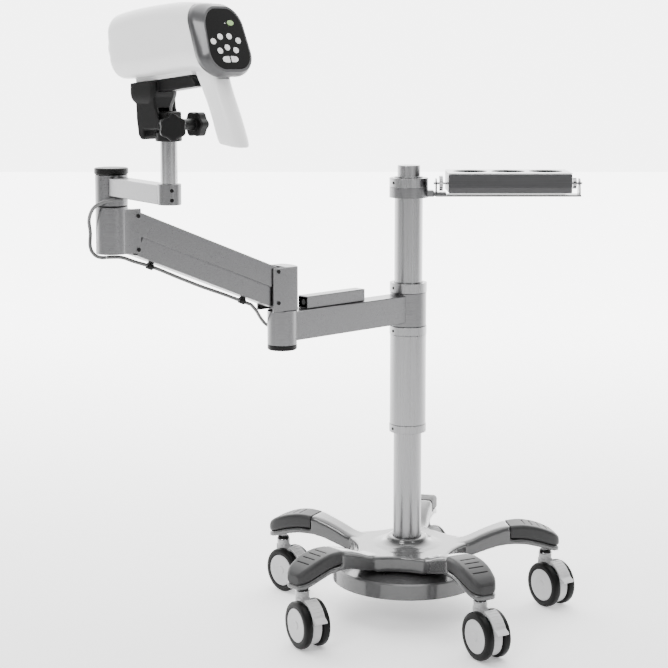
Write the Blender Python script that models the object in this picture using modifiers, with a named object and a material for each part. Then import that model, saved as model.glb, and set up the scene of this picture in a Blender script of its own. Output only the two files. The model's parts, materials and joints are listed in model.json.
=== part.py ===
"""Video colposcope head on a mobile stand: five-caster base, column, cup tray and balanced swing arm.

All lengths are in metres, +Z is up and the floor is at z = 0. The stand's own frame has the column's axis
at x = y = 0; the whole object is then shifted by COLUMN so that its box stands centred on the origin.
"""

import math

import bmesh
import bpy
from mathutils import Matrix, Vector

# ---------------------------------------------------------------- driving dimensions

COLUMN = Vector((0.1243, 0.2434, 0.0))      # the column's axis in the object's frame
GAP = 0.0003                                # face gap between touching pieces

# base
LEG_ANGLES = (151.9, 223.9, 295.9, 7.9, 79.9)
CASTER_RADIUS = 0.3187                      # column axis to caster stems
CASTER_HEADINGS = (44.0, 30.0, 30.0, 33.0, 30.0)    # wheel axle directions at rest
STAR_HEIGHT = 0.170                         # top of the star's column socket
SOCKET_DEPTH = 0.048                        # how far the column tube enters it
BALLAST_RADIUS = 0.1665

# casters
WHEEL_RADIUS = 0.050
WHEEL_WIDTH = 0.019
CASTER_WIDTH = 0.060
CASTER_TRAIL = 0.022
STEM_RADIUS = 0.0085

# column
TUBE_RADIUS = 0.031
TUBE_WALL = 0.003
TUBE_TOP = 0.9685
SLEEVE_RADIUS = 0.040
COLLAR_RADIUS = 0.041
SLEEVE_BASE = 0.407
COLLAR_HEIGHT = 0.0175
HUB_BASE = 0.6443
HUB_TOP = 0.7187
TRAY_RING_BASE = 0.927
TRAY_RING_TOP = 0.9497
CLAMP_TOP = 0.970
CLAMP_RADIUS = 0.0425
SPIGOT_RADIUS = 0.0248
SPIGOT_TOP = 0.997

# tray
TRAY_CENTRE_X = 0.216
TRAY_LENGTH = 0.266
TRAY_DEPTH = 0.116
TRAY_BASE = 0.9400
TRAY_TOP = 0.9840
CUP_RADIUS = 0.0370
CUP_PITCH = 0.0826
TRAY_PIVOT_Z = 0.9575
BRACKET_LEFT_X = 0.0575
BRACKET_RIGHT_X = 0.3740

# arms: plan directions and lengths
LOWER_ARM_ANGLE = -137.3
LOWER_ARM_LENGTH = 0.3670
SPRING_ARM_ANGLE = -141.2
SPRING_ARM_LENGTH = 0.3994
SPRING_ARM_RISE = 0.162
SHORT_ARM_ANGLE = -57.9
SHORT_ARM_LENGTH = 0.2436
BARREL_RADIUS = 0.0305
PIVOT_SPACING = 0.064                       # lower to upper pivot
LOWER_PIVOT_Z = 0.737

# post and head
POST_RADIUS = 0.015
POST_TOP = 1.119
HEAD_HEADING = 140.0                        # plan direction the lens looks
HEAD_TILT = 6.5                             # lens end below level
HEAD_CENTRE_Z = 1.2575                      # middle of the camera body above the post
TILT_AXIS_X = -0.002                        # tilt axis, ahead of (+) or behind the post
TILT_AXIS_Z = 1.1140
SWIVEL_KNOB_HEADING = -75.0                 # plan direction the swivel knob points
SWIVEL_SCREW_Z = 1.1120

# cable
CABLE_RADIUS = 0.0034


def polar(angle_deg, radius, z=0.0):
    angle = math.radians(angle_deg)
    return Vector((radius * math.cos(angle), radius * math.sin(angle), z))


ELBOW = polar(LOWER_ARM_ANGLE, LOWER_ARM_LENGTH)
TIP = ELBOW + polar(SPRING_ARM_ANGLE, SPRING_ARM_LENGTH)
POST = TIP + polar(SHORT_ARM_ANGLE, SHORT_ARM_LENGTH)

# ---------------------------------------------------------------- scene and materials

for old in list(bpy.data.objects):
    bpy.data.objects.remove(old, do_unlink=True)

PARTS = bpy.data.collections.new("video_colposcope_stand")
CUTTERS = bpy.data.collections.new("cutters")
for collection in (PARTS, CUTTERS):
    bpy.context.scene.collection.children.link(collection)

FINISHES = {
    "brushed_aluminium": ((0.62, 0.62, 0.63), 0.34, 1.0),
    "steel": ((0.55, 0.55, 0.56), 0.25, 1.0),
    "grey_paint": ((0.24, 0.24, 0.245), 0.25, 0.0),
    "grey_rubber": ((0.10, 0.10, 0.10), 0.7, 0.0),
    "caster_plastic": ((0.62, 0.62, 0.62), 0.45, 0.0),
    "tyre": ((0.02, 0.02, 0.02), 0.5, 0.0),
    "white_plastic": ((0.80, 0.80, 0.80), 0.35, 0.0),
    "bezel_grey": ((0.22, 0.22, 0.225), 0.3, 0.6),
    "black_plastic": ((0.015, 0.015, 0.015), 0.45, 0.0),
    "black_gloss": ((0.006, 0.006, 0.006), 0.08, 0.0),
    "lens_glass": ((0.02, 0.03, 0.05), 0.05, 0.0),
    "cable_grey": ((0.30, 0.30, 0.30), 0.5, 0.0),
}


def make_material(name):
    colour, roughness, metallic = FINISHES[name]
    material = bpy.data.materials.new(name)
    material.use_nodes = True
    shader = material.node_tree.nodes["Principled BSDF"]
    shader.inputs["Base Color"].default_value = (*colour, 1.0)
    shader.inputs["Roughness"].default_value = roughness
    shader.inputs["Metallic"].default_value = metallic
    return material


MATERIALS = {name: make_material(name) for name in FINISHES}

# ---------------------------------------------------------------- modelling tools


def place(point, heading_deg=0.0, tilt_deg=0.0):
    """World matrix of a piece at a point of the stand's frame, turned about Z, then tilted nose-down."""
    turn = Matrix.Rotation(math.radians(heading_deg), 4, "Z")
    tilt = Matrix.Rotation(math.radians(tilt_deg), 4, "Y")
    return Matrix.Translation(Vector(point) + COLUMN) @ turn @ tilt


def add(name, mesh, matrix, material=None):
    """Link a mesh as a named object; with no material it is a cutter or a shape to be joined."""
    piece = bpy.data.objects.new(name, mesh)
    (PARTS if material else CUTTERS).objects.link(piece)
    piece.matrix_world = matrix
    if material:
        mesh.materials.clear()
        mesh.materials.append(MATERIALS[material])
        mesh.shade_smooth()
        mesh.set_sharp_from_angle(angle=math.radians(35))
    else:
        piece.hide_render = True
        piece.display_type = "WIRE"
    return piece


def mesh_from(shape, name="shape"):
    bmesh.ops.recalc_face_normals(shape, faces=shape.faces)
    if shape.calc_volume(signed=True) < 0:
        bmesh.ops.reverse_faces(shape, faces=shape.faces)
    mesh = bpy.data.meshes.new(name)
    shape.to_mesh(mesh)
    shape.free()
    return mesh


def moved(mesh, matrix):
    mesh.transform(matrix)
    return mesh


def bevelled(shape, width, segments=1, edges=None):
    if width > 0:
        chosen = edges if edges is not None else [
            e for e in shape.edges if e.calc_face_angle(0.0) > math.radians(40)]
        bmesh.ops.bevel(shape, geom=chosen, offset=width, segments=segments,
                        profile=0.5, affect="EDGES", clamp_overlap=True)


def box(size, centre=(0, 0, 0), bevel=0.0, segments=1):
    shape = bmesh.new()
    bmesh.ops.create_cube(shape, size=1.0)
    bmesh.ops.scale(shape, vec=size, verts=shape.verts)
    bevelled(shape, bevel, segments)
    bmesh.ops.translate(shape, vec=centre, verts=shape.verts)
    return mesh_from(shape)


def cylinder(radius, low, high, sides=24, bevel=0.0, axis="Z", at=(0, 0, 0), top_radius=None):
    """A cylinder or cone from low to high along an axis through a point."""
    shape = bmesh.new()
    bmesh.ops.create_cone(shape, cap_ends=True, segments=sides, radius1=radius,
                          radius2=radius if top_radius is None else top_radius, depth=high - low)
    bmesh.ops.translate(shape, vec=(0, 0, (low + high) / 2), verts=shape.verts)
    if bevel:
        rims = [e for e in shape.edges if e.calc_face_angle(0.0) > math.radians(60)]
        bevelled(shape, bevel, 1, rims)
    turn = {"Z": Matrix(), "X": Matrix.Rotation(math.pi / 2, 4, "Y"),
            "Y": Matrix.Rotation(-math.pi / 2, 4, "X")}[axis]
    shape.transform(Matrix.Translation(at) @ turn)
    return mesh_from(shape)


def outline_plate(points, low, high, bevel=0.0):
    """A flat outline in X and Y, extruded from low to high."""
    curve = bpy.data.curves.new("outline", "CURVE")
    curve.dimensions = "2D"
    curve.fill_mode = "BOTH"
    curve.extrude = (high - low) / 2
    line = curve.splines.new("POLY")
    line.points.add(len(points) - 1)
    for spot, (x, y) in zip(line.points, points):
        spot.co = (x, y, 0, 1)
    line.use_cyclic_u = True
    mesh = curve_to_mesh(curve)
    shape = bmesh.new()
    shape.from_mesh(mesh)
    bmesh.ops.dissolve_limit(shape, angle_limit=math.radians(0.5), verts=shape.verts, edges=shape.edges)
    bmesh.ops.translate(shape, vec=(0, 0, (low + high) / 2), verts=shape.verts)
    if bevel:
        rims = [e for e in shape.edges if abs(e.verts[0].co.z - e.verts[1].co.z) < 1e-6]
        bevelled(shape, bevel, 1, rims)
    return mesh_from(shape)


def curve_to_mesh(curve):
    holder = bpy.data.objects.new("curve_holder", curve)
    bpy.context.scene.collection.objects.link(holder)
    graph = bpy.context.evaluated_depsgraph_get()
    mesh = bpy.data.meshes.new_from_object(holder.evaluated_get(graph))
    shape = bmesh.new()
    shape.from_mesh(mesh)
    bmesh.ops.remove_doubles(shape, verts=shape.verts, dist=1e-6)
    bmesh.ops.recalc_face_normals(shape, faces=shape.faces)
    shape.to_mesh(mesh)
    shape.free()
    bpy.data.objects.remove(holder)
    bpy.data.curves.remove(curve)
    return mesh


def turned(profile, steps=24):
    """A turned solid from (radius, z) points listed from the top down; open ends meet the axis."""
    mesh = bpy.data.meshes.new("profile")
    mesh.from_pydata([(r, 0, z) for r, z in profile], [(i, i + 1) for i in range(len(profile) - 1)], [])
    holder = bpy.data.objects.new("profile_holder", mesh)
    bpy.context.scene.collection.objects.link(holder)
    screw = holder.modifiers.new("turn", "SCREW")
    screw.steps = screw.render_steps = steps
    screw.use_merge_vertices = True
    screw.merge_threshold = 0.00002
    graph = bpy.context.evaluated_depsgraph_get()
    solid = bpy.data.meshes.new_from_object(holder.evaluated_get(graph))
    bpy.data.objects.remove(holder)
    shape = bmesh.new()
    shape.from_mesh(solid)
    bmesh.ops.remove_doubles(shape, verts=shape.verts, dist=2e-6)
    return mesh_from(shape)


def ring(outer, inner, low, high, sides=20):
    """A collar: a short plain tube."""
    return turned([(inner, high), (outer, high), (outer, low), (inner, low), (inner, high)], sides)


def loft(sections):
    """A solid through closed sections, each a list of points of one length, capped at both ends."""
    shape = bmesh.new()
    rows = [[shape.verts.new(p) for p in section] for section in sections]
    count = len(rows[0])
    for near, far in zip(rows, rows[1:]):
        for i in range(count):
            j = (i + 1) % count
            shape.faces.new((near[i], near[j], far[j], far[i]))
    shape.faces.new(list(reversed(rows[0])))
    shape.faces.new(rows[-1])
    bmesh.ops.triangulate(shape, faces=shape.faces)
    return mesh_from(shape)


def rounded_section(half_width, half_height, radius, corner_steps=2):
    """Points of a rounded rectangle in (u, v), counter-clockwise from the lower right corner."""
    points = []
    for k, (su, sv) in enumerate(((1, -1), (1, 1), (-1, 1), (-1, -1))):
        cu, cv = su * (half_width - radius), sv * (half_height - radius)
        for step in range(corner_steps + 1):
            angle = math.radians(-90 + 90 * k + 90 * step / corner_steps)
            points.append((cu + radius * math.cos(angle), cv + radius * math.sin(angle)))
    return points


def combine(name, base_mesh, operations, matrix, material, solver="EXACT"):
    """A named piece made of a base mesh and a list of (UNION or DIFFERENCE, mesh) steps."""
    piece = add(name, base_mesh, matrix, material)
    for number, (operation, mesh) in enumerate(operations):
        tool = add(f"{name}_{operation.lower()}_{number}", mesh, matrix)
        step = piece.modifiers.new(f"{operation.lower()}_{number}", "BOOLEAN")
        step.operation = operation
        step.solver = solver
        step.object = tool
    return piece


def smooth_route(points, step):
    """Points every step metres along one smooth curve through the route's own points."""
    spots = [Vector(p) for p in points]
    spots = [2 * spots[0] - spots[1], *spots, 2 * spots[-1] - spots[-2]]
    fine = []
    for a, b, c, d in zip(spots, spots[1:], spots[2:], spots[3:]):
        for k in range(24):
            t = k / 24
            fine.append(0.5 * (2 * b + (c - a) * t + (2 * a - 5 * b + 4 * c - d) * t * t
                               + (3 * b - a - 3 * c + d) * t ** 3))
    fine.append(spots[-2])
    lengths = [0.0]
    for a, b in zip(fine, fine[1:]):
        lengths.append(lengths[-1] + (b - a).length)
    count = max(2, round(lengths[-1] / step))
    route = []
    for k in range(count + 1):
        want = lengths[-1] * k / count
        i = next((n for n in range(1, len(lengths)) if lengths[n] >= want - 1e-9), len(lengths) - 1)
        part = (want - lengths[i - 1]) / (lengths[i] - lengths[i - 1])
        route.append(fine[i - 1].lerp(fine[i], part))
    return route


def cable(name, points, radius=CABLE_RADIUS):
    """A cable along a route given in the stand's frame."""
    curve = bpy.data.curves.new(name, "CURVE")
    curve.dimensions = "3D"
    curve.bevel_depth = radius
    curve.bevel_resolution = 2
    curve.use_fill_caps = True
    route = smooth_route(points, 5 * radius)
    line = curve.splines.new("POLY")
    line.points.add(len(route) - 1)
    for spot, p in zip(line.points, route):
        spot.co = (*p, 1)
    curve.materials.append(MATERIALS["cable_grey"])
    piece = bpy.data.objects.new(name, curve)
    PARTS.objects.link(piece)
    piece.location = COLUMN
    return piece

# ---------------------------------------------------------------- base

PAD_START = 0.2300                          # the rubber pads run from here to the leg tips
LEG_TIP = 0.3465
PAD_SHELF = 0.012                           # thickness of the casting's lip under a pad
STEM_SOCKET_TOP = 0.1490
SOCKET_RADIUS = TUBE_RADIUS + GAP

# along a leg: distance from the column axis, half width, underside, top
LEG_STATIONS = (
    (0.098, 0.0300, 0.1190, 0.1500), (0.135, 0.0275, 0.1215, 0.1560),
    (0.170, 0.0265, 0.1310, 0.1700), (0.200, 0.0275, 0.1400, 0.1805), (0.230, 0.0300, 0.1450, 0.1870),
    (0.262, 0.0325, 0.1440, 0.1880), (0.295, 0.0330, 0.1370, 0.1820), (0.325, 0.0295, 0.1270, 0.1705),
    (0.340, 0.0235, 0.1235, 0.1610), (LEG_TIP, 0.0160, 0.1230, 0.1540),
)
CORE_HALF = 0.0170                          # half width of the hollow that a pad slips over its core with


def hollow_top(distance, low, high):
    """Top of a pad's hollow, which runs out at the shelf near the leg's tip."""
    return high - 0.008 if distance < 0.330 else low + PAD_SHELF + 0.0006


def leg_section(distance, half_width, low, high, radius=0.008):
    half_height = (high - low) / 2
    radius = min(radius, 0.9 * half_height, 0.9 * half_width)
    return [(distance, u, low + half_height + v)
            for u, v in rounded_section(half_width, half_height, radius, 1)]


def casting_section(distance, half_width, low, high, under_pad):
    """A leg's section: a full body with eased top edges or, under a pad, a lip with the pad's core on it."""
    if under_pad:
        shelf, core = low + PAD_SHELF, CORE_HALF - GAP
        top = hollow_top(distance, low, high) - 0.0004
        right = [(half_width, low), (half_width, shelf), (core, shelf), (core - 0.001, top)]
    else:
        right = [(half_width, low), (half_width, high - 0.010), (half_width - 0.003, high - 0.003),
                 (half_width - 0.010, high)]
    left = [(-u, z) for u, z in reversed(right)]
    return [(distance, u, z) for u, z in right + left]


def leg_mesh(angle):
    """One leg, from inside the hub's web to its tip."""
    sections = [casting_section(*s, False) for s in LEG_STATIONS if s[0] <= PAD_START]
    under_pad = [s for s in LEG_STATIONS if s[0] >= PAD_START]
    sections += [casting_section(r + (0.0006 if r == PAD_START else 0), w, low, high, True)
                 for r, w, low, high in under_pad]
    return moved(loft(sections), Matrix.Rotation(math.radians(angle), 4, "Z"))


def pad_solids():
    """A pad's outer block and the hollow that its core fills."""
    stations = [s for s in LEG_STATIONS if s[0] >= PAD_START]
    pad = [leg_section(r + (0.0012 if r == PAD_START else 0), w, low + PAD_SHELF + GAP, high)
           for r, w, low, high in stations]
    hollow = [[(r - (0.02 if r == PAD_START else 0), u, z) for u, z in (
        (CORE_HALF, low), (CORE_HALF, hollow_top(r, low, high)), (-CORE_HALF, hollow_top(r, low, high)),
        (-CORE_HALF, low))] for r, w, low, high in stations if r < 0.3450]
    return loft(pad), loft(hollow)


def star_outline():
    """The hub's web in plan: a concave bay between each pair of legs."""
    points = []
    for angle in LEG_ANGLES:
        for turn, radius in ((-13, 0.132), (13, 0.132), (25, 0.117), (36, 0.113), (47, 0.117)):
            spot = polar(angle + turn, radius)
            points.append((spot.x, spot.y))
    return points


def build_base():
    steps = []
    for angle in LEG_ANGLES:
        steps.append(("UNION", leg_mesh(angle)))
    neck = turned([(0, STAR_HEIGHT), (0.0440, STAR_HEIGHT), (0.0470, 0.1600), (0.0560, 0.1545),
                   (0.0850, 0.1510), (0.0850, 0.1220), (0, 0.1220)], 24)
    steps.append(("UNION", neck))
    steps.append(("DIFFERENCE", cylinder(SOCKET_RADIUS, STAR_HEIGHT - SOCKET_DEPTH, STAR_HEIGHT + 0.01, 20)))
    for angle in LEG_ANGLES:
        stem = polar(angle, CASTER_RADIUS)
        steps.append(("DIFFERENCE", cylinder(STEM_RADIUS * 1.12, 0.10, STEM_SOCKET_TOP, 8, at=stem)))
    web = outline_plate(star_outline(), 0.1170, 0.1520, 0.003)
    combine("base_star", web, steps, place((0, 0, 0)), "grey_paint", "MANIFOLD")

    for number, angle in enumerate(LEG_ANGLES, 1):
        pad, hollow = pad_solids()
        combine(f"footrest_pad_{number}", pad, [("DIFFERENCE", hollow)], place((0, 0, 0), angle),
                "grey_rubber")

    rim = BALLAST_RADIUS
    disc = turned([(0, 0.1115), (0.098, 0.1115), (0.104, 0.1085), (rim - 0.003, 0.1080), (rim, 0.1050),
                   (rim, 0.0730), (0, 0.0730)], 28)
    steps = [("UNION", cylinder(0.030, 0.110, 0.1170 - GAP, 24))]
    combine("ballast_disc", disc, steps, place((0, 0, 0)), "grey_paint")


# ---------------------------------------------------------------- casters

WHEEL_INNER = CASTER_WIDTH / 2 - WHEEL_WIDTH
AXLE_RADIUS = 0.004
FORK_RADIUS = 0.0440
PEDAL_PIN_X = 0.0270                        # from the stem axis
PEDAL_PIN_Z = 0.0880
PEDAL_INNER = WHEEL_RADIUS + 0.0012
PEDAL_OUTER = WHEEL_RADIUS + 0.0060


def wheel_mesh(side):
    half = WHEEL_WIDTH / 2
    wheel = turned([(0, half), (0.0452, half), (WHEEL_RADIUS, half - 0.004), (WHEEL_RADIUS, 0.004 - half),
                    (0.0452, -half), (0, -half)], 16)
    shift = Matrix.Translation((0, side * (CASTER_WIDTH / 2 - half), 0))
    return moved(wheel, shift @ Matrix.Rotation(-math.pi / 2, 4, "X"))


def arc_points(radius, start_deg, end_deg, steps):
    """Points of an arc about the wheel's centre, in the caster's X and Z."""
    spots = []
    for k in range(steps + 1):
        angle = math.radians(start_deg + (end_deg - start_deg) * k / steps)
        spots.append((CASTER_TRAIL + radius * math.cos(angle), WHEEL_RADIUS + radius * math.sin(angle)))
    return spots


def side_plate(points, half_width):
    """An outline in X and Z, given a width in Y."""
    mesh = outline_plate([(x, -z) for x, z in points], -half_width, half_width)
    return moved(mesh, Matrix.Rotation(-math.pi / 2, 4, "X"))


def build_caster(number, angle, axle_heading):
    stand = polar(angle, CASTER_RADIUS)
    here = place(stand, axle_heading - 90)
    fork_half = WHEEL_INNER - 0.0006
    fork_line = arc_points(FORK_RADIUS, 62, -180, 9)
    fork_line += [(-0.0135, 0.0620), (-0.0135, 0.1030), (0.0135, 0.1030), (0.0165, 0.0930), (0.0250, 0.0810)]
    fork = side_plate(fork_line, fork_half)
    centre = (CASTER_TRAIL, 0, WHEEL_RADIUS)
    head = turned([(0, 0.1145), (0.0125, 0.1145), (0.0145, 0.1125), (0.0145, 0.1012), (0, 0.1012)], 12)
    steps = [
        ("UNION", head),
        ("UNION", cylinder(STEM_RADIUS, 0.110, STEM_SOCKET_TOP - GAP, 8)),
        ("DIFFERENCE", cylinder(AXLE_RADIUS + GAP, -0.02, 0.02, 10, axis="Y", at=centre)),
        ("UNION", cylinder(0.0022, -0.0088, 0.0088, 8, axis="Y", at=(PEDAL_PIN_X, 0, PEDAL_PIN_Z))),
        ("UNION", box((0.0045, 0.0036, 0.016), (PEDAL_PIN_X, 0, PEDAL_PIN_Z - 0.007))),
    ]
    combine(f"caster_{number}_fork", fork, steps, here, "caster_plastic")

    at_axle = place(stand, axle_heading - 90) @ Matrix.Translation(centre)
    steps = [("UNION", wheel_mesh(-1)),
             ("UNION", cylinder(AXLE_RADIUS, -0.020, 0.020, 10, axis="Y"))]
    combine(f"caster_{number}_wheels", wheel_mesh(1), steps, at_axle, "tyre")

    treadle = side_plate(arc_points(PEDAL_OUTER, 78, 27, 4) + [(0.0830, 0.0690), (0.0815, 0.0650)]
                         + arc_points(PEDAL_INNER, 24, 78, 4), 0.0140)
    arms = []
    for side in (-1, 1):
        ear_line = [(0.0248, 0.0860), (0.0290, 0.0848)] + arc_points(FORK_RADIUS + 0.0012, 66, 40, 2)
        ear_line += arc_points(PEDAL_INNER + 0.002, 40, 76, 2) + [(0.0300, 0.0925), (0.0240, 0.0920)]
        ear = moved(side_plate(ear_line, 0.0022), Matrix.Translation((0, side * 0.0048, 0)))
        arms.append(("UNION", ear))
    pin_hole = cylinder(0.0022 + 0.0004, -0.02, 0.02, 8, axis="Y", at=(PEDAL_PIN_X, 0, PEDAL_PIN_Z))
    steps = [*arms, ("DIFFERENCE", pin_hole)]
    pin = Vector((PEDAL_PIN_X, 0, PEDAL_PIN_Z))
    to_pin = Matrix.Translation(-pin)
    steps = [(operation, moved(mesh, to_pin)) for operation, mesh in steps]
    combine(f"caster_{number}_brake", moved(treadle, to_pin), steps, here @ Matrix.Translation(pin),
            "caster_plastic")


# ---------------------------------------------------------------- column


def build_column():
    here = place((0, 0, 0))
    bore = TUBE_RADIUS - TUBE_WALL
    low = STAR_HEIGHT - SOCKET_DEPTH + GAP
    tube = turned([(bore, TUBE_TOP), (TUBE_RADIUS, TUBE_TOP), (TUBE_RADIUS, low), (bore, low),
                   (bore, TUBE_TOP)], 20)
    add("column_tube", tube, here, "brushed_aluminium")

    plug = bore - GAP
    flange, flange_base = TUBE_RADIUS - 0.001, TUBE_TOP + GAP
    spigot = turned([(0, SPIGOT_TOP), (SPIGOT_RADIUS - 0.001, SPIGOT_TOP), (SPIGOT_RADIUS, SPIGOT_TOP - 0.001),
                     (SPIGOT_RADIUS, flange_base + 0.004), (flange, flange_base + 0.004), (flange, flange_base),
                     (plug, flange_base), (plug, TUBE_TOP - 0.030), (0, TUBE_TOP - 0.030)], 20)
    add("column_spigot", spigot, here, "brushed_aluminium")

    inner = TUBE_RADIUS + 0.0005
    for name, low, high, outer in (
            ("sleeve_base_collar", SLEEVE_BASE, SLEEVE_BASE + COLLAR_HEIGHT, COLLAR_RADIUS),
            ("spacer_sleeve", SLEEVE_BASE + COLLAR_HEIGHT + GAP, 0.6250, SLEEVE_RADIUS),
            ("arm_support_collar", 0.6253, HUB_BASE - GAP, COLLAR_RADIUS),
            ("arm_stop_collar", HUB_TOP + GAP, 0.7400, COLLAR_RADIUS),
            ("top_clamp_collar", TRAY_RING_TOP + GAP, CLAMP_TOP, CLAMP_RADIUS)):
        add(name, ring(outer, inner, low, high), here, "brushed_aluminium")

# ---------------------------------------------------------------- cup tray

BRACKET_PLATE = (0.9295, 0.9335)
KNOB_STUD = 0.0025


def knurled_knob(radius, low, high, stud_low, stud_high):
    """A knurled disc on a plain stud, along X."""
    rim = []
    for k in range(24):
        angle = 2 * math.pi * k / 24
        r = radius if k % 2 else radius - 0.0008
        rim.append((r * math.cos(angle), r * math.sin(angle)))
    disc = moved(outline_plate(rim, low, high), Matrix.Rotation(math.pi / 2, 4, "Y"))
    return disc, cylinder(KNOB_STUD, stud_low, stud_high, 12, axis="X")


def build_tray():
    here = place((0, 0, 0))
    swing = ring(CLAMP_RADIUS, TUBE_RADIUS + 0.0006, TRAY_RING_BASE, TRAY_RING_TOP)
    lug = box((0.016, 0.028, 0.014), (0.0385 + 0.008, 0, 0.9355), 0.001)
    combine("tray_swing_ring", swing, [("UNION", lug)], here, "brushed_aluminium")

    left, right = BRACKET_LEFT_X, BRACKET_RIGHT_X
    low, high = BRACKET_PLATE
    plate = box((right - left, 0.044, high - low), ((left + right) / 2, 0, (low + high) / 2), 0.0006)
    tongue = box((0.026, 0.026, 0.0085), (0.0548 + 0.013, 0, 0.93425), 0.0006)
    steps = [("UNION", tongue)]
    for x in (left + 0.0020, right - 0.0020):
        line = [(-0.018, low + 0.001), (0.018, low + 0.001), (0.012, TRAY_PIVOT_Z + 0.006), (0.006, 0.9680),
                (-0.006, 0.9680), (-0.012, TRAY_PIVOT_Z + 0.006)]
        ear = outline_plate(line, -0.0015, 0.0015)
        upright = Matrix(((0, 0, 1, x), (1, 0, 0, 0), (0, 1, 0, 0), (0, 0, 0, 1)))
        steps.append(("UNION", moved(ear, upright)))
        hole = cylinder(KNOB_STUD + 0.0004, -0.01, 0.01, 12, axis="X", at=(x, 0, TRAY_PIVOT_Z))
        steps.append(("DIFFERENCE", hole))
    combine("tray_bracket", plate, steps, here, "brushed_aluminium")

    centre = Vector((TRAY_CENTRE_X, 0, TRAY_PIVOT_Z))
    tray_here = place(centre)
    wall, top = 0.002, 0.003
    base_z, lid_z = TRAY_BASE - TRAY_PIVOT_Z, TRAY_TOP - top - TRAY_PIVOT_Z
    body = box((TRAY_LENGTH, TRAY_DEPTH, lid_z - base_z), (0, 0, (base_z + lid_z) / 2), 0.0015)
    hollow = box((TRAY_LENGTH - 2 * wall, TRAY_DEPTH - 2 * wall, 0.1), (0, 0, base_z + wall + 0.05))
    steps = [("DIFFERENCE", hollow)]
    for side in (-1, 1):
        steps.append(("DIFFERENCE", cylinder(KNOB_STUD + 0.0004, -0.01, 0.01, 12, axis="X",
                                             at=(side * TRAY_LENGTH / 2, 0, 0))))
    combine("tray_box", body, steps, tray_here, "brushed_aluminium")

    lid = box((TRAY_LENGTH, TRAY_DEPTH, top - GAP), (0, 0, lid_z + (top + GAP) / 2), 0.0008)
    steps = [("DIFFERENCE", cylinder(CUP_RADIUS, lid_z - 0.01, lid_z + 0.01, 24, at=(k * CUP_PITCH, 0, 0)))
             for k in (-1, 0, 1)]
    combine("tray_lid", lid, steps, tray_here, "white_plastic")

    gap_left = TRAY_CENTRE_X - TRAY_LENGTH / 2
    gap_right = TRAY_CENTRE_X + TRAY_LENGTH / 2
    for name, radius, near, far, stud_near, stud_far in (
            ("tray_left_knob", 0.0165, left + 0.0085, left + 0.0165, left - 0.0035, gap_left + 0.006),
            ("tray_right_knob", 0.0120, right - 0.0165, right - 0.0085, gap_right - 0.006, right + 0.0045)):
        disc, stud = knurled_knob(radius, near, far, stud_near, stud_far)
        combine(name, disc, [("UNION", stud)], place((0, 0, TRAY_PIVOT_Z)), "steel")


# ---------------------------------------------------------------- lower arm

BEAM_LOW, BEAM_HIGH = 0.6540, 0.7140
ELBOW_TOP = 0.7176
ELBOW_BASE = 0.6460
ELBOW_PIN = 0.0120
CAP_BASE = 0.6356


def build_lower_arm():
    here = place((0, 0, 0), LOWER_ARM_ANGLE)
    beam = box((0.330, 0.048, BEAM_HIGH - BEAM_LOW), (0.190, 0, (BEAM_LOW + BEAM_HIGH) / 2), 0.0015)
    at_elbow = (LOWER_ARM_LENGTH, 0, 0)
    steps = [
        ("UNION", cylinder(SLEEVE_RADIUS, HUB_BASE, HUB_TOP, 20, 0.001)),
        ("UNION", cylinder(BARREL_RADIUS, ELBOW_BASE, ELBOW_TOP, 20, 0.001, at=at_elbow)),
        ("DIFFERENCE", cylinder(TUBE_RADIUS + 0.0005, HUB_BASE - 0.01, HUB_TOP + 0.01, 20)),
        ("DIFFERENCE", cylinder(ELBOW_PIN + 0.0004, ELBOW_BASE + 0.012, ELBOW_TOP + 0.01, 24, at=at_elbow)),
        ("DIFFERENCE", box((0.240, 0.042, 0.050), (0.186, 0, BEAM_LOW + 0.022))),
    ]
    combine("lower_arm", beam, steps, here, "brushed_aluminium")

    cap = turned([(0, ELBOW_BASE - GAP), (BARREL_RADIUS, ELBOW_BASE - GAP), (BARREL_RADIUS, CAP_BASE + 0.002),
                  (BARREL_RADIUS - 0.002, CAP_BASE), (0, CAP_BASE)], 20)
    add("elbow_end_cap", cap, place(ELBOW), "black_plastic")

    low, high = BEAM_HIGH + GAP, BEAM_HIGH + 0.0265
    near, far = 0.146, 0.310
    case = box((far - near, 0.030, high - low), ((near + far) / 2, 0, (low + high) / 2), 0.0012)
    hollow = box((0.15, 0.026, high - low - 0.004), (far - 0.072, 0, (low + high) / 2))
    combine("junction_box", case, [("DIFFERENCE", hollow)], here, "brushed_aluminium")


# ---------------------------------------------------------------- spring arm

ELBOW_PIVOT = 0.030                         # elbow axis to the links' near pins
TIP_PIVOT = 0.040                           # tip axis to the links' far pins
SLOPE = math.atan2(SPRING_ARM_RISE, SPRING_ARM_LENGTH)
LINK_SPAN = SPRING_ARM_LENGTH - ELBOW_PIVOT - TIP_PIVOT
LINK_LENGTH = LINK_SPAN / math.cos(SLOPE)
LINK_RISE = LINK_SPAN * math.tan(SLOPE)
UPPER_PIVOT_Z = LOWER_PIVOT_Z + PIVOT_SPACING
PIN_RADIUS = 0.0030
LUG_RADIUS = 0.0075
CHEEK_OUTER = 0.02875
CHEEK_INNER = 0.02560
LINK_WIDTH = 0.0500
INNER_WIDTH = 0.0440
BRACKET_BASE = ELBOW_TOP + GAP
BRACKET_TOP = 0.8085
KNUCKLE_BASE = 0.864
KNUCKLE_TOP = 0.953


def link_frame(pivot_z):
    """World matrix at a link's near pin, +X running along the link."""
    pin = ELBOW + polar(SPRING_ARM_ANGLE, ELBOW_PIVOT, pivot_z)
    return place(pin, SPRING_ARM_ANGLE, -math.degrees(SLOPE))


def cut_pin_holes(reach_near, reach_far):
    return [("DIFFERENCE", cylinder(reach_near, -0.04, 0.04, 12, axis="Y")),
            ("DIFFERENCE", cylinder(reach_far, -0.04, 0.04, 12, axis="Y", at=(LINK_LENGTH, 0, 0)))]


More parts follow.
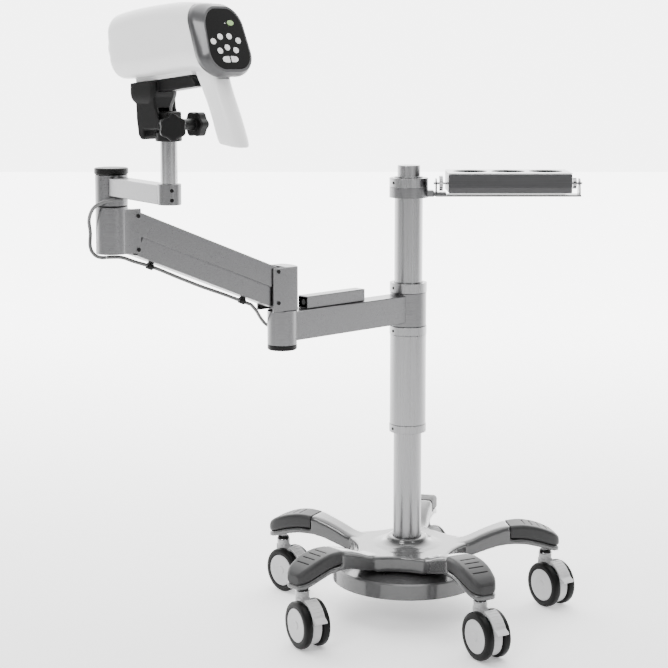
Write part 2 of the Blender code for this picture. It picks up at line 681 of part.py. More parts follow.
def build_links():
    clear = PIN_RADIUS + 0.0004
    near, far = 0.0148, LINK_LENGTH - 0.0075
    # heights square to the link, from its pins
    top, skirt = 0.0086, -0.0340
    cover = box((far - near, LINK_WIDTH, top - skirt), ((near + far) / 2, 0, (top + skirt) / 2), 0.0012)
    inside = box((far - near + 0.02, LINK_WIDTH - 0.005, 0.1), ((near + far) / 2, 0, top - 0.0025 - 0.05))
    steps = [("DIFFERENCE", inside)]
    for x, inward in ((0, 1), (LINK_LENGTH, -1)):
        steps.append(("UNION", cylinder(LUG_RADIUS, -0.0248, 0.0248, 20, axis="Y", at=(x, 0, 0))))
        steps.append(("UNION", box((0.020, LINK_WIDTH - 0.0004, 0.0140), (x + inward * 0.012, 0, 0.0003))))
    combine("upper_link", cover, steps + cut_pin_holes(clear, clear), link_frame(UPPER_PIVOT_Z),
            "brushed_aluminium")

    low, rim = -0.0112, 0.0260
    channel = box((far - near, INNER_WIDTH, rim - low), ((near + far) / 2, 0, (rim + low) / 2), 0.0012)
    inside = box((far - near + 0.02, INNER_WIDTH - 0.005, 0.1), ((near + far) / 2, 0, low + 0.0025 + 0.05))
    steps = [("DIFFERENCE", inside)]
    for x, inward in ((0, 1), (LINK_LENGTH, -1)):
        steps.append(("UNION", cylinder(LUG_RADIUS, -0.0218, 0.0218, 20, axis="Y", at=(x, 0, 0))))
        steps.append(("UNION", box((0.020, INNER_WIDTH - 0.0006, 0.0140), (x + inward * 0.012, 0, -0.0003))))
    open_pivot = PIN_RADIUS + 0.0010
    combine("lower_link", channel, steps + cut_pin_holes(clear, open_pivot), link_frame(LOWER_PIVOT_Z),
            "brushed_aluminium")

    body = cylinder(0.0090, 0.060, 0.215, 20, 0.001, axis="X", at=(0, 0, 0.0090))
    steps = [("UNION", cylinder(0.0040, 0.200, 0.290, 12, axis="X", at=(0, 0, 0.0090))),
             ("UNION", cylinder(0.0065, 0.285, 0.300, 12, axis="X", at=(0, 0, 0.0090)))]
    combine("gas_spring", body, steps, link_frame(LOWER_PIVOT_Z), "black_plastic")


def pivot_pin(x, z):
    """A pin with two low socket heads, across the cheeks and fast in them."""
    head = CHEEK_OUTER + 0.0012
    shank = CHEEK_OUTER - 0.0004
    steps = [("UNION", cylinder(PIN_RADIUS, -shank, shank, 12, axis="Y", at=(x, 0, z)))]
    for low, high in ((-head, -CHEEK_OUTER + 0.001), (CHEEK_OUTER - 0.001, head)):
        steps.append(("UNION", cylinder(0.0045, low, high, 12, axis="Y", at=(x, 0, z))))
    return steps


def build_elbow_bracket():
    here = place(ELBOW, SPRING_ARM_ANGLE)
    line = [(-0.0160, -CHEEK_OUTER), (0.0430, -CHEEK_OUTER), (0.0430, CHEEK_OUTER), (-0.0160, CHEEK_OUTER)]
    for k in range(1, 8):
        angle = math.radians(90 + 180 * k / 8)
        line.append((-0.0160 + 0.0120 * math.cos(angle), CHEEK_OUTER * math.sin(angle)))
    block = outline_plate(line, BRACKET_BASE, BRACKET_TOP, 0.0015)
    steps = [
        ("DIFFERENCE", box((0.060, 2 * CHEEK_INNER, 0.200), (0.0080 + 0.030, 0, 0.7225 + 0.100))),
        ("UNION", cylinder(ELBOW_PIN, ELBOW_TOP - 0.050, BRACKET_BASE + 0.004, 24)),
    ]
    for z in (LOWER_PIVOT_Z, UPPER_PIVOT_Z):
        steps += pivot_pin(ELBOW_PIVOT, z)
    combine("elbow_bracket", block, steps, here, "brushed_aluminium")


def build_tip_knuckle():
    here = place(TIP, SPRING_ARM_ANGLE + 180)
    line = [(0.0, -CHEEK_OUTER), (0.0460, -CHEEK_OUTER), (0.0460, CHEEK_OUTER), (0.0, CHEEK_OUTER)]
    cheeks = outline_plate(line, KNUCKLE_BASE, 0.9485, 0.001)
    steps = [
        ("UNION", cylinder(BARREL_RADIUS, KNUCKLE_BASE, KNUCKLE_TOP, 20, 0.001)),
        ("DIFFERENCE", box((0.060, 2 * CHEEK_INNER, 0.300), (0.0270 + 0.030, 0, 0.9))),
        ("UNION", cylinder(ELBOW_PIN, KNUCKLE_TOP - 0.002, KNUCKLE_TOP + 0.042, 24)),
    ]
    for z in (LOWER_PIVOT_Z + LINK_RISE, UPPER_PIVOT_Z + LINK_RISE):
        steps += pivot_pin(TIP_PIVOT, z)
    combine("tip_knuckle", cheeks, steps, here, "brushed_aluminium")


# ---------------------------------------------------------------- short arm and post

SHORT_BASE = 0.9550
SHORT_TOP = 1.0137
CLAMP_BASE, CLAMP_TOP_Z = 0.975, 1.012
POST_BASE = CLAMP_BASE + 0.004 + GAP


def build_short_arm():
    here = place(TIP, SHORT_ARM_ANGLE)
    at_post = (SHORT_ARM_LENGTH, 0, 0)
    beam = box((0.222, 0.036, 0.034), (0.122, 0, 0.992), 0.0012)
    steps = [
        ("UNION", cylinder(BARREL_RADIUS, SHORT_BASE, SHORT_TOP, 20, 0.001)),
        ("UNION", cylinder(0.0210, CLAMP_BASE, CLAMP_TOP_Z, 24, 0.001, at=at_post)),
        ("DIFFERENCE", cylinder(ELBOW_PIN + 0.0004, SHORT_BASE - 0.01, SHORT_BASE + 0.043, 24)),
        ("DIFFERENCE", cylinder(POST_RADIUS + GAP, POST_BASE - GAP, CLAMP_TOP_Z + 0.01, 24, at=at_post)),
        ("DIFFERENCE", box((0.140, 0.029, 0.030), (0.122, 0, CLAMP_BASE + 0.010))),
    ]
    combine("short_arm", beam, steps, here, "brushed_aluminium")
    cap = turned([(0, 1.0262), (0.0300, 1.0262), (0.0320, 1.0245), (0.0320, 1.0155),
                  (BARREL_RADIUS, SHORT_TOP + GAP), (0, SHORT_TOP + GAP)], 20)
    add("short_arm_cap", cap, place(TIP), "black_plastic")
    post = cylinder(POST_RADIUS, POST_BASE, POST_TOP, 24, 0.001)
    add("head_post", post, place(POST), "steel")

# ---------------------------------------------------------------- camera mount

SOCKET_BASE = 1.0862
SOCKET_BLOCK_TOP = 1.1380
BLOCK_HALF = 0.0185
CHEEK_FACE = BLOCK_HALF + 0.0005
CRADLE_HALF = 0.0265
TILT_BOLT = 0.0045
SWIVEL_BOLT = 0.0028
BOLT_END = 0.0165                           # the tilt bolt stops here, short of the post
FOOT_BASE = -0.0630                         # underside of the camera's foot, in the head's frame


def head_frame():
    return place(POST + Vector((0, 0, HEAD_CENTRE_Z)), HEAD_HEADING, HEAD_TILT)


def lobed_knob(radius, low, high, lobes=6):
    """A star knob standing on XY, its grip a smooth lobed outline."""
    rim = []
    for k in range(4 * lobes):
        angle = 2 * math.pi * k / (4 * lobes)
        r = radius * (0.93 + 0.07 * math.cos(lobes * angle))
        rim.append((r * math.cos(angle), r * math.sin(angle)))
    return outline_plate(rim, low, high, 0.002)


def upright_plate(points, low_y, high_y, bevel=0.0):
    """An outline in X and Z, extruded in Y."""
    mesh = outline_plate([(x, -z) for x, z in points], -high_y, -low_y, bevel)
    return moved(mesh, Matrix.Rotation(-math.pi / 2, 4, "X") @ Matrix.Diagonal((1, 1, -1, 1)))


def build_post_socket():
    """The fixed half of the tilt hinge: it slips over the post and carries one pivot stub."""
    axis_x, axis_z = TILT_AXIS_X, TILT_AXIS_Z
    block_height = 0.036
    block = box((0.034, 2 * BLOCK_HALF, block_height),
                (axis_x + 0.004, 0, SOCKET_BLOCK_TOP - block_height / 2), 0.002)
    screw_hole = cylinder(SWIVEL_BOLT + GAP, 0.010, 0.050, 16, axis="X", at=(0, 0, SWIVEL_SCREW_Z))
    turn = Matrix.Rotation(math.radians(SWIVEL_KNOB_HEADING - HEAD_HEADING), 4, "Z")
    steps = [
        ("UNION", cylinder(0.0235, SOCKET_BASE, 1.1030, 24, 0.0015)),
        ("UNION", cylinder(TILT_BOLT, BLOCK_HALF - 0.002, CRADLE_HALF, 16, axis="Y", at=(axis_x, 0, axis_z))),
        ("DIFFERENCE", cylinder(POST_RADIUS + 0.0004, SOCKET_BASE - 0.01, POST_TOP + 0.0005, 24)),
        ("DIFFERENCE", cylinder(TILT_BOLT + GAP, -0.05, -BOLT_END, 16, axis="Y", at=(axis_x, 0, axis_z))),
        ("DIFFERENCE", moved(screw_hole, turn)),
    ]
    combine("post_socket", block, steps, place(POST, HEAD_HEADING), "black_plastic")


def build_cradle():
    """The moving half: two cheeks, a solid front and the plate under the camera's foot."""
    here = place(POST, HEAD_HEADING)
    axis_x, axis_z = TILT_AXIS_X, TILT_AXIS_Z
    back = [(axis_x + 0.0105 * math.cos(a), axis_z + 0.0105 * math.sin(a))
            for a in (math.radians(d) for d in (90, 120, 150, 180, 210, 240))]
    side = back + [(0.0020, 1.1075), (0.0345, 1.1060), (0.0350, 1.0940), (0.0380, 1.0885), (0.0440, 1.0895),
                   (0.0495, 1.0960), (0.0540, 1.1230), (0.0560, 1.1650), (0.0080, 1.1650), (0.0060, 1.1440)]
    cheeks = upright_plate(side, -CRADLE_HALF, CRADLE_HALF, 0.002)
    slot = box((0.064, 2 * CHEEK_FACE, 0.064), (0.001, 0, 1.1120))
    flange = loft([[(0.0380 + u, v, z) for u, v in rounded_section(w, d, 0.008, 2)]
                   for z, w, d in ((1.1480, 0.0170, 0.0250), (1.1620, 0.0300, 0.0290), (1.1900, 0.0310, 0.0290))])
    into_head = here.inverted() @ head_frame()
    under = FOOT_BASE - GAP
    arm_line = [(0.0720, under), (0.0720, under - 0.0180), (0.0000, -0.0850), (-0.0760, -0.0840),
                (-0.0720, -0.0730), (-0.0680, -0.0670), (-0.0620, under)]
    arm = moved(upright_plate(arm_line, -0.0180, 0.0180, 0.0015), into_head)
    steps = [("DIFFERENCE", slot), ("UNION", flange), ("UNION", arm),
             ("DIFFERENCE", moved(box((0.3, 0.2, 0.06), (0, 0, under + 0.03)), into_head)),
             ("DIFFERENCE", cylinder(TILT_BOLT + GAP, -0.05, 0.05, 16, axis="Y", at=(axis_x, 0, axis_z)))]
    to_axis = Matrix.Translation((-axis_x, 0, -axis_z))
    steps = [(operation, moved(mesh, to_axis)) for operation, mesh in steps]
    combine("tilt_cradle", moved(cheeks, to_axis), steps, here @ to_axis.inverted(), "black_plastic")


def build_mount_knobs():
    at_axis = place(POST, HEAD_HEADING) @ Matrix.Translation((TILT_AXIS_X, 0, TILT_AXIS_Z))
    to_minus_y = Matrix.Rotation(math.pi / 2, 4, "X")
    grip = moved(lobed_knob(0.0235, 0.0570, 0.0770), to_minus_y)
    steps = [("UNION", moved(cylinder(0.0100, CRADLE_HALF + GAP, 0.0580, 20), to_minus_y)),
             ("UNION", moved(cylinder(TILT_BOLT, BOLT_END + GAP, 0.0580, 16), to_minus_y))]
    combine("tilt_knob", grip, steps, at_axis, "black_plastic")

    to_plus_x = Matrix.Rotation(math.pi / 2, 4, "Y")
    grip = moved(lobed_knob(0.0240, 0.0340, 0.0520), to_plus_x)
    steps = [("UNION", moved(cylinder(0.0080, 0.0265, 0.0350, 20), to_plus_x)),
             ("UNION", moved(cylinder(SWIVEL_BOLT, POST_RADIUS + 0.0009, 0.0350, 16), to_plus_x))]
    combine("swivel_knob", grip, steps, place(POST + Vector((0, 0, SWIVEL_SCREW_Z)), SWIVEL_KNOB_HEADING),
            "black_plastic")


# ---------------------------------------------------------------- camera head

# along the body, lens end first: distance, half width, low, high, corner radius
BODY_STATIONS = (
    (0.0990, 0.0440, -0.0440, 0.0480, 0.0300), (0.0960, 0.0495, -0.0500, 0.0535, 0.0320),
    (0.0850, 0.0530, -0.0545, 0.0590, 0.0310), (0.0450, 0.0545, -0.0555, 0.0620, 0.0300),
    (-0.0100, 0.0550, -0.0560, 0.0625, 0.0300), (-0.0600, 0.0550, -0.0565, 0.0605, 0.0310),
    (-0.0900, 0.0550, -0.0600, 0.0570, 0.0340),
)
BODY_WALL = 0.003
SEAM_X = -0.1110                            # shell to bezel, at mid height
BEZEL_LEAN = 11.0                           # the rear face leans forward at the top
SEAM_SECTION = (0.0550, -0.0720, 0.0535, 0.0370)    # half width, low, high, corner radius
BEZEL_STATIONS = (                          # behind the seam, then the same four values
    (GAP, *SEAM_SECTION), (0.0100, 0.0565, -0.0765, 0.0535, 0.0390),
    (0.0200, 0.0535, -0.0745, 0.0510, 0.0380), (0.0285, 0.0490, -0.0690, 0.0460, 0.0350),
)
PANEL_SECTION = (0.0452, -0.0642, 0.0417, 0.0320)
GRIP_STATIONS = (                           # down the pistol grip: x, z, half length, half width
    (-0.0960, -0.0400, 0.0330, 0.0240), (-0.1020, -0.0700, 0.0300, 0.0225), (-0.1120, -0.1000, 0.0280, 0.0212),
    (-0.1250, -0.1400, 0.0275, 0.0210), (-0.1345, -0.1800, 0.0280, 0.0210), (-0.1360, -0.1895, 0.0255, 0.0185),
)


def body_section(x, half_width, low, high, radius, inset=0.0):
    mid, half = (low + high) / 2, (high - low) / 2 - inset
    return [(x, u, mid + v) for u, v in rounded_section(half_width - inset, half, radius - inset, 3)]


def rear_section(offset, half_width, low, high, radius, inset=0.0):
    """A section of the leaning rear, behind the seam, drawn in a little towards its top."""
    lean = math.radians(BEZEL_LEAN)
    narrowing = 0.10 * min(1.0, max(0.0, offset) / 0.020)
    mid, half = (low + high) / 2, (high - low) / 2
    return [(SEAM_X - offset + v * math.sin(lean), u * (1 - narrowing * (v - mid) / half), v * math.cos(lean))
            for _, u, v in body_section(0, half_width, low, high, radius, inset)]


def build_shell():
    shell = loft([body_section(*s) for s in BODY_STATIONS] + [rear_section(0, *SEAM_SECTION)])
    inside = [body_section(*s, inset=BODY_WALL) for s in BODY_STATIONS[1:]]
    inside.append(rear_section(0.010, *SEAM_SECTION, inset=BODY_WALL))
    grip = [[(x + u * 0.97, v, z + u * 0.26) for u, v in rounded_section(a, b, min(a, b) * 0.93, 3)]
            for x, z, a, b in GRIP_STATIONS]
    behind_seam = (0.0590, -0.0778, 0.0600, 0.0390)
    foot = box((0.138, 0.036, 0.0085), (0.001, 0, FOOT_BASE + 0.00425), 0.001)
    steps = [("UNION", loft(grip)),
             ("DIFFERENCE", loft([rear_section(0, *behind_seam), rear_section(0.060, *behind_seam)])),
             ("UNION", foot),
             ("DIFFERENCE", loft(inside)),
             ("DIFFERENCE", cylinder(0.0290, 0.05, 0.12, 24, axis="X"))]
    combine("head_shell", shell, steps, head_frame(), "white_plastic", "MANIFOLD")


def build_rear():
    here = head_frame()
    wall = 0.004
    floor = 0.0235
    hollow = loft([rear_section(-0.010, *SEAM_SECTION, inset=wall),
                   rear_section(floor, *BEZEL_STATIONS[2][1:], inset=wall)])
    panel_floor, panel_face = 0.0270, 0.0287
    half_width, low, high, radius = PANEL_SECTION
    around = (half_width + GAP, low - GAP, high + GAP, radius + GAP)
    recess = loft([rear_section(panel_floor, *around), rear_section(0.040, *around)])
    combine("rear_bezel", loft([rear_section(*s) for s in BEZEL_STATIONS]),
            [("DIFFERENCE", hollow), ("DIFFERENCE", recess)], here, "bezel_grey")
    panel = loft([rear_section(panel_floor + GAP, *PANEL_SECTION), rear_section(panel_face, *PANEL_SECTION)])
    add("keypad_panel", panel, here, "black_gloss")


def build_optics():
    here = head_frame()
    front = turned([(0.0260, 0.012), (0.0370, 0.012), (0.0400, 0.009), (0.0400, 0.0006), (0.0283, 0.0006),
                    (0.0283, -0.012), (0.0260, -0.012), (0.0260, 0.012)], 20)
    into_lens = Matrix.Translation((BODY_STATIONS[0][0], 0, 0)) @ Matrix.Rotation(math.pi / 2, 4, "Y")
    add("front_ring", moved(front, into_lens), here, "bezel_grey")
    lens = turned([(0, 0.0085), (0.0120, 0.0075), (0.0200, 0.0050), (0.0256, 0.0015), (0.0256, -0.0060),
                   (0, -0.0060)], 24)
    add("lens", moved(lens, into_lens), here, "lens_glass")
    camera = box((0.080, 0.056, 0.060), (0.015, 0, 0), 0.003)
    barrel = cylinder(0.0245, 0.045, 0.0900, 20, axis="X")
    combine("camera_module", camera, [("UNION", barrel)], here, "black_plastic")

# ---------------------------------------------------------------- camera cable


def along_spring_arm(distance, z, side=0.0):
    """A point of the stand's frame beside the spring arm, at a distance from the elbow axis."""
    return ELBOW + polar(SPRING_ARM_ANGLE, distance) + polar(SPRING_ARM_ANGLE + 90, side, z)


def build_cables():
    head_turn = Matrix.Rotation(math.radians(HEAD_HEADING), 3, "Z")
    cable("cable_camera", [POST + head_turn @ Vector(p) for p in (
        (-0.0240, 0.0060, 1.1740), (-0.0235, 0.0060, 1.1690), (-0.0200, 0.0060, 1.1600),
        (-0.0130, 0.0050, 1.1500), (-0.0100, 0.0040, 1.1440), (-0.0100, 0.0040, 1.1392))], 0.0025)
    cable("cable_tip_loop", [
        (-0.5560, -0.5380, 0.9705), (-0.5700, -0.5480, 0.9695), (-0.5900, -0.5470, 0.9650),
        (-0.6100, -0.5340, 0.9530), (-0.6220, -0.5120, 0.9300), (-0.6230, -0.4930, 0.9020),
        *(along_spring_arm(*p) for p in (
            (0.4300, 0.8800, -0.0300), (0.4270, 0.8665, -0.0280), (0.4210, 0.8580, -0.0210),
            (0.4140, 0.8556, -0.0140), (0.4070, 0.8555, -0.0120)))])
    cable("cable_arm_run", [along_spring_arm(*p) for p in (
        (0.4056, 0.8555, -0.0118), (0.3980, 0.8555, -0.0098), (0.3750, 0.8535, -0.0060), (0.3500, 0.8440, -0.0020),
        (0.3090, 0.8300, 0), (0.2500, 0.8045, 0), (0.2000, 0.7835, 0), (0.1500, 0.7645, 0),
        (0.1200, 0.7525, 0), (0.0900, 0.7402, 0), (0.0850, 0.7382, 0))])
    beam_back = polar(LOWER_ARM_ANGLE, 0.322) + polar(LOWER_ARM_ANGLE - 90, 0.0259)
    outward = polar(LOWER_ARM_ANGLE - 90, 1.0)
    cable("cable_elbow_loop", [
        along_spring_arm(0.0842, 0.7378), along_spring_arm(0.0780, 0.7350), (-0.3210, -0.2800, 0.7200),
        (-0.3130, -0.2520, 0.7000), (-0.3030, -0.2260, 0.6830), (-0.2860, -0.2010, 0.6720),
        beam_back + 0.0080 * outward + Vector((0, 0, 0.6672)), beam_back + Vector((0, 0, 0.6670))])


# ---------------------------------------------------------------- the object

build_base()
for caster, (leg_angle, heading) in enumerate(zip(LEG_ANGLES, CASTER_HEADINGS), 1):
    build_caster(caster, leg_angle, heading)
build_column()
build_tray()
build_lower_arm()
build_links()
build_elbow_bracket()
build_tip_knuckle()
build_short_arm()
build_post_socket()
build_cradle()
build_mount_knobs()
build_shell()
build_rear()
build_optics()
build_cables()
CUTTERS.hide_render = True
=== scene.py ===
import json
from math import atan2, cos, degrees, pi, radians, sin, tan

import bmesh
import bpy
from mathutils import Matrix, Vector

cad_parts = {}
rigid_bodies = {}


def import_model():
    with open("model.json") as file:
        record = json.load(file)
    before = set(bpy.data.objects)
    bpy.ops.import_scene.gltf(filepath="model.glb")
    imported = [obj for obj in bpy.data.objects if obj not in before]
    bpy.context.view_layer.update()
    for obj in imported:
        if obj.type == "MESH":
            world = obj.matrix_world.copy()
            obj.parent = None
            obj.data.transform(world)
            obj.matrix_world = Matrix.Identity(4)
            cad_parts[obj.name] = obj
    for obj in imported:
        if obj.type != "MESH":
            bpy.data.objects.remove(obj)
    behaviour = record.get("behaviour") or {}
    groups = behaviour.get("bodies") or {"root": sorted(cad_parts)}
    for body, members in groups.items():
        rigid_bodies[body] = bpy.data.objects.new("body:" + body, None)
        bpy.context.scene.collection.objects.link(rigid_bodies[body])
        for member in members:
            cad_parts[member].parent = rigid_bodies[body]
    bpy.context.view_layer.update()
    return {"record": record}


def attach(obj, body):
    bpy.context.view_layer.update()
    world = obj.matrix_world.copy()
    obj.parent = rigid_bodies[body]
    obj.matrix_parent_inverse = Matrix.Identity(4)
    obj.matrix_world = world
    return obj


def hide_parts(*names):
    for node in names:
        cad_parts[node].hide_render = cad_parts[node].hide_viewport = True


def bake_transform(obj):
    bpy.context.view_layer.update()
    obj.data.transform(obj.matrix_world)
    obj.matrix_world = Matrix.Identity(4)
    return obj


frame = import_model()
PIECES = {}
SHARP = radians(32)    # an edge turning more than this shows as an edge

# ---- driving dimensions

COLUMN = Vector((0.1243, 0.2434, 0.0))    # the column's axis in the object's frame
GAP = 0.0003    # face gap between touching pieces

# base
LEG_ANGLES = (151.9, 223.9, 295.9, 7.9, 79.9)
CASTER_RADIUS = 0.3187    # column axis to caster stems
CASTER_HEADINGS = (44.0, 30.0, 30.0, 33.0, 30.0)    # wheel axle directions at rest
STAR_HEIGHT = 0.17    # top of the star's column socket
SOCKET_DEPTH = 0.048    # how far the column tube enters it
BALLAST_RADIUS = 0.1665

# casters
WHEEL_RADIUS = 0.05
WHEEL_WIDTH = 0.019
CASTER_WIDTH = 0.06
CASTER_TRAIL = 0.022
STEM_RADIUS = 0.0085

# column
TUBE_RADIUS = 0.031
TUBE_WALL = 0.003
TUBE_TOP = 0.9685
SLEEVE_RADIUS = 0.04
COLLAR_RADIUS = 0.041
SLEEVE_BASE = 0.407
COLLAR_HEIGHT = 0.0175
HUB_BASE = 0.6443
HUB_TOP = 0.7187
TRAY_RING_BASE = 0.927
TRAY_RING_TOP = 0.9497
CLAMP_TOP = 0.97
CLAMP_RADIUS = 0.0425
SPIGOT_RADIUS = 0.0248
SPIGOT_TOP = 0.997

# tray
TRAY_CENTRE_X = 0.216
TRAY_LENGTH = 0.266
TRAY_DEPTH = 0.116
TRAY_BASE = 0.94
TRAY_TOP = 0.984
CUP_RADIUS = 0.037
CUP_PITCH = 0.0826
TRAY_PIVOT_Z = 0.9575
BRACKET_LEFT_X = 0.0575
BRACKET_RIGHT_X = 0.374

# arms: plan directions and lengths
LOWER_ARM_ANGLE = -137.3
LOWER_ARM_LENGTH = 0.367
SPRING_ARM_ANGLE = -141.2
SPRING_ARM_LENGTH = 0.3994
SPRING_ARM_RISE = 0.162
SHORT_ARM_ANGLE = -57.9
SHORT_ARM_LENGTH = 0.2436
BARREL_RADIUS = 0.0305
PIVOT_SPACING = 0.064    # lower to upper pivot
LOWER_PIVOT_Z = 0.737

# post and head
POST_RADIUS = 0.015
POST_TOP = 1.119
HEAD_HEADING = 140.0    # plan direction the lens looks
HEAD_TILT = 6.5    # lens end below level
HEAD_CENTRE_Z = 1.2575    # middle of the camera body above the post
TILT_AXIS_X = -0.002    # tilt axis, ahead of (+) or behind the post
TILT_AXIS_Z = 1.114
SWIVEL_KNOB_HEADING = -75.0    # plan direction the swivel knob points
SWIVEL_SCREW_Z = 1.112

# cable
CABLE_RADIUS = 0.0034


def polar(angle_deg, radius, z=0.0):
    angle = radians(angle_deg)
    return Vector((radius * cos(angle), radius * sin(angle), z))


ELBOW = polar(LOWER_ARM_ANGLE, LOWER_ARM_LENGTH)
TIP = ELBOW + polar(SPRING_ARM_ANGLE, SPRING_ARM_LENGTH)
POST = TIP + polar(SHORT_ARM_ANGLE, SHORT_ARM_LENGTH)

# ---- materials

# name: colour, roughness, metallic, clearcoat, specular, grain along X Y Z, spread of colour,
# spread of roughness, bump
FINISHES = {
    "brushed_aluminium": ((0.165, 0.165, 0.168), 0.3, 1.0, 0.0, 0.5, (6, 400, 400), 0.08, 0.08, 0.02),
    "dark_aluminium": ((0.075, 0.075, 0.077), 0.32, 1.0, 0.0, 0.5, (6, 400, 400), 0.08, 0.08, 0.02),
    "satin_tube": ((0.26, 0.26, 0.264), 0.28, 1.0, 0.0, 0.5, (300, 300, 5), 0.06, 0.06, 0.01),
    "steel": ((0.36, 0.36, 0.365), 0.16, 1.0, 0.0, 0.5, (500, 500, 20), 0.05, 0.05, 0.01),
    "grey_paint": ((0.055, 0.055, 0.056), 0.24, 0.0, 0.6, 0.5, (90, 90, 90), 0.03, 0.04, 0.005),
    "grey_rubber": ((0.022, 0.022, 0.0225), 0.46, 0.0, 0.0, 0.3, (420, 420, 420), 0.12, 0.08, 0.08),
    "caster_plastic": ((0.44, 0.44, 0.445), 0.34, 0.0, 0.1, 0.5, (260, 260, 260), 0.04, 0.06, 0.03),
    "tyre": ((0.0022, 0.0022, 0.0022), 0.42, 0.0, 0.0, 0.15, (300, 300, 300), 0.15, 0.12, 0.05),
    "white_plastic": ((0.76, 0.76, 0.76), 0.3, 0.0, 0.15, 0.5, (700, 700, 700), 0.02, 0.05, 0.02),
    "bezel_grey": ((0.065, 0.065, 0.067), 0.34, 0.45, 0.2, 0.4, (600, 600, 600), 0.06, 0.06, 0.01),
    "black_plastic": ((0.003, 0.003, 0.003), 0.4, 0.0, 0.0, 0.18, (520, 520, 520), 0.15, 0.1, 0.08),
    "black_gloss": ((0.001, 0.001, 0.001), 0.12, 0.0, 0.0, 0.15, (40, 40, 40), 0.1, 0.02, 0.003),
    "lens_glass": ((0.004, 0.006, 0.01), 0.04, 0.0, 1.0, 0.5, (30, 30, 30), 0.1, 0.01, 0.0),
    "cable_grey": ((0.09, 0.09, 0.09), 0.42, 0.0, 0.0, 0.4, (200, 200, 200), 0.06, 0.08, 0.03),
    "key_white": ((0.7, 0.7, 0.7), 0.35, 0.0, 0.1, 0.5, (300, 300, 300), 0.03, 0.05, 0.01),
    "key_green": ((0.24, 0.4, 0.14), 0.35, 0.0, 0.1, 0.5, (300, 300, 300), 0.05, 0.05, 0.01),
    "screw_black": ((0.003, 0.003, 0.003), 0.35, 0.0, 0.0, 0.15, (500, 500, 500), 0.1, 0.08, 0.02),
}
GRAINED = ("brushed_aluminium", "dark_aluminium")    # finishes whose grain follows the piece's own axes


def add_node(tree, kind, **sockets):
    """A shader node, each named socket set to a value or fed by another node's output."""
    made = tree.nodes.new("ShaderNode" + kind)
    feed(tree, made, **sockets)
    return made


def feed(tree, target, **sockets):
    for name, value in sockets.items():
        socket = target.inputs[name.replace("_", " ")]
        if isinstance(value, bpy.types.NodeSocket):
            tree.links.new(value, socket)
        else:
            socket.default_value = value


def make_material(name):
    colour, roughness, metallic, coat, specular, grain, spread, rough_spread, bump = FINISHES[name]
    material = bpy.data.materials.new(name)
    material.use_nodes = True
    tree = material.node_tree
    shader = tree.nodes["Principled BSDF"]
    spot = add_node(tree, "TexCoord").outputs["Object"]
    stretched = add_node(tree, "Mapping", Vector=spot, Scale=grain).outputs["Vector"]
    noise = add_node(tree, "TexNoise", Vector=stretched, Scale=1.0, Detail=4.0).outputs["Fac"]
    shade = add_node(tree, "ValToRGB", Fac=noise)
    for stop, position, factor in zip(shade.color_ramp.elements, (0.3, 0.7), (1 - spread, 1 + spread)):
        stop.position = position
        stop.color = (*(min(1, v * factor) for v in colour), 1)
    wear = add_node(tree, "MapRange", Value=noise, To_Min=max(0.02, roughness - rough_spread),
                    To_Max=roughness + rough_spread)
    feed(tree, shader, Base_Color=shade.outputs["Color"], Roughness=wear.outputs["Result"],
         Metallic=metallic, Coat_Weight=coat, Specular_IOR_Level=specular, Coat_Roughness=0.08)
    if bump:
        relief = add_node(tree, "Bump", Height=noise, Strength=bump, Distance=0.0005)
        feed(tree, shader, Normal=relief.outputs["Normal"])
    return material


MATERIALS = {name: make_material(name) for name in FINISHES}

# ---- modelling tools

def place(point=(0, 0, 0), heading_deg=0.0, tilt_deg=0.0):
    """World matrix of a piece at a point of the stand's frame, turned about Z, then tilted nose-down."""
    turn = Matrix.Rotation(radians(heading_deg), 4, "Z")
    tilt = Matrix.Rotation(radians(tilt_deg), 4, "Y")
    return Matrix.Translation(Vector(point) + COLUMN) @ turn @ tilt


def add(name, mesh, matrix, material=None):
    """A named finished piece, or with no material a cutter or a shape to be joined."""
    piece = bpy.data.objects.new(name + "_look", mesh)
    bpy.context.scene.collection.objects.link(piece)
    piece.matrix_world = matrix
    if material:
        finish_mesh(mesh, material)
        PIECES[name] = piece
    return piece


def finish_mesh(mesh, material):
    mesh.materials.clear()
    mesh.materials.append(MATERIALS[material])
    mesh.shade_smooth()
    mesh.set_sharp_from_angle(angle=SHARP)


def soften(piece, width=0.0008, segments=2, harden=True):
    """Round a piece's edges a little so that they catch the light."""
    edge = piece.modifiers.new("soft_edges", "BEVEL")
    edge.width, edge.segments = width, segments
    edge.limit_method, edge.angle_limit = "ANGLE", SHARP
    edge.harden_normals = harden


def cast(name, cell, rounds):
    """Give a piece the flowing fillets of a casting or a moulding."""
    piece = PIECES[name]
    fused = piece.modifiers.new("fuse", "REMESH")
    fused.mode, fused.voxel_size, fused.use_smooth_shade = "VOXEL", cell, True
    smooth = piece.modifiers.new("smooth", "SMOOTH")
    smooth.iterations = rounds
    material = piece.data.materials[0]
    piece.data = evaluated_mesh(piece)
    piece.modifiers.clear()
    piece.data.materials.clear()
    piece.data.materials.append(material)
    piece.data.shade_smooth()


def evaluated_mesh(piece):
    graph = bpy.context.evaluated_depsgraph_get()
    return bpy.data.meshes.new_from_object(piece.evaluated_get(graph))


def round_sides(radius):
    return 96 if radius > 0.02 else 48 if radius > 0.006 else 24


def mesh_from(shape, name="shape"):
    bmesh.ops.recalc_face_normals(shape, faces=shape.faces)
    if shape.calc_volume(signed=True) < 0:
        bmesh.ops.reverse_faces(shape, faces=shape.faces)
    mesh = bpy.data.meshes.new(name)
    shape.to_mesh(mesh)
    shape.free()
    return mesh


def moved(mesh, matrix):
    mesh.transform(matrix)
    return mesh


def bevelled(shape, width, edges):
    if width > 0:
        bmesh.ops.bevel(shape, geom=edges, offset=width, segments=1, profile=0.5, affect="EDGES",
                        clamp_overlap=True)


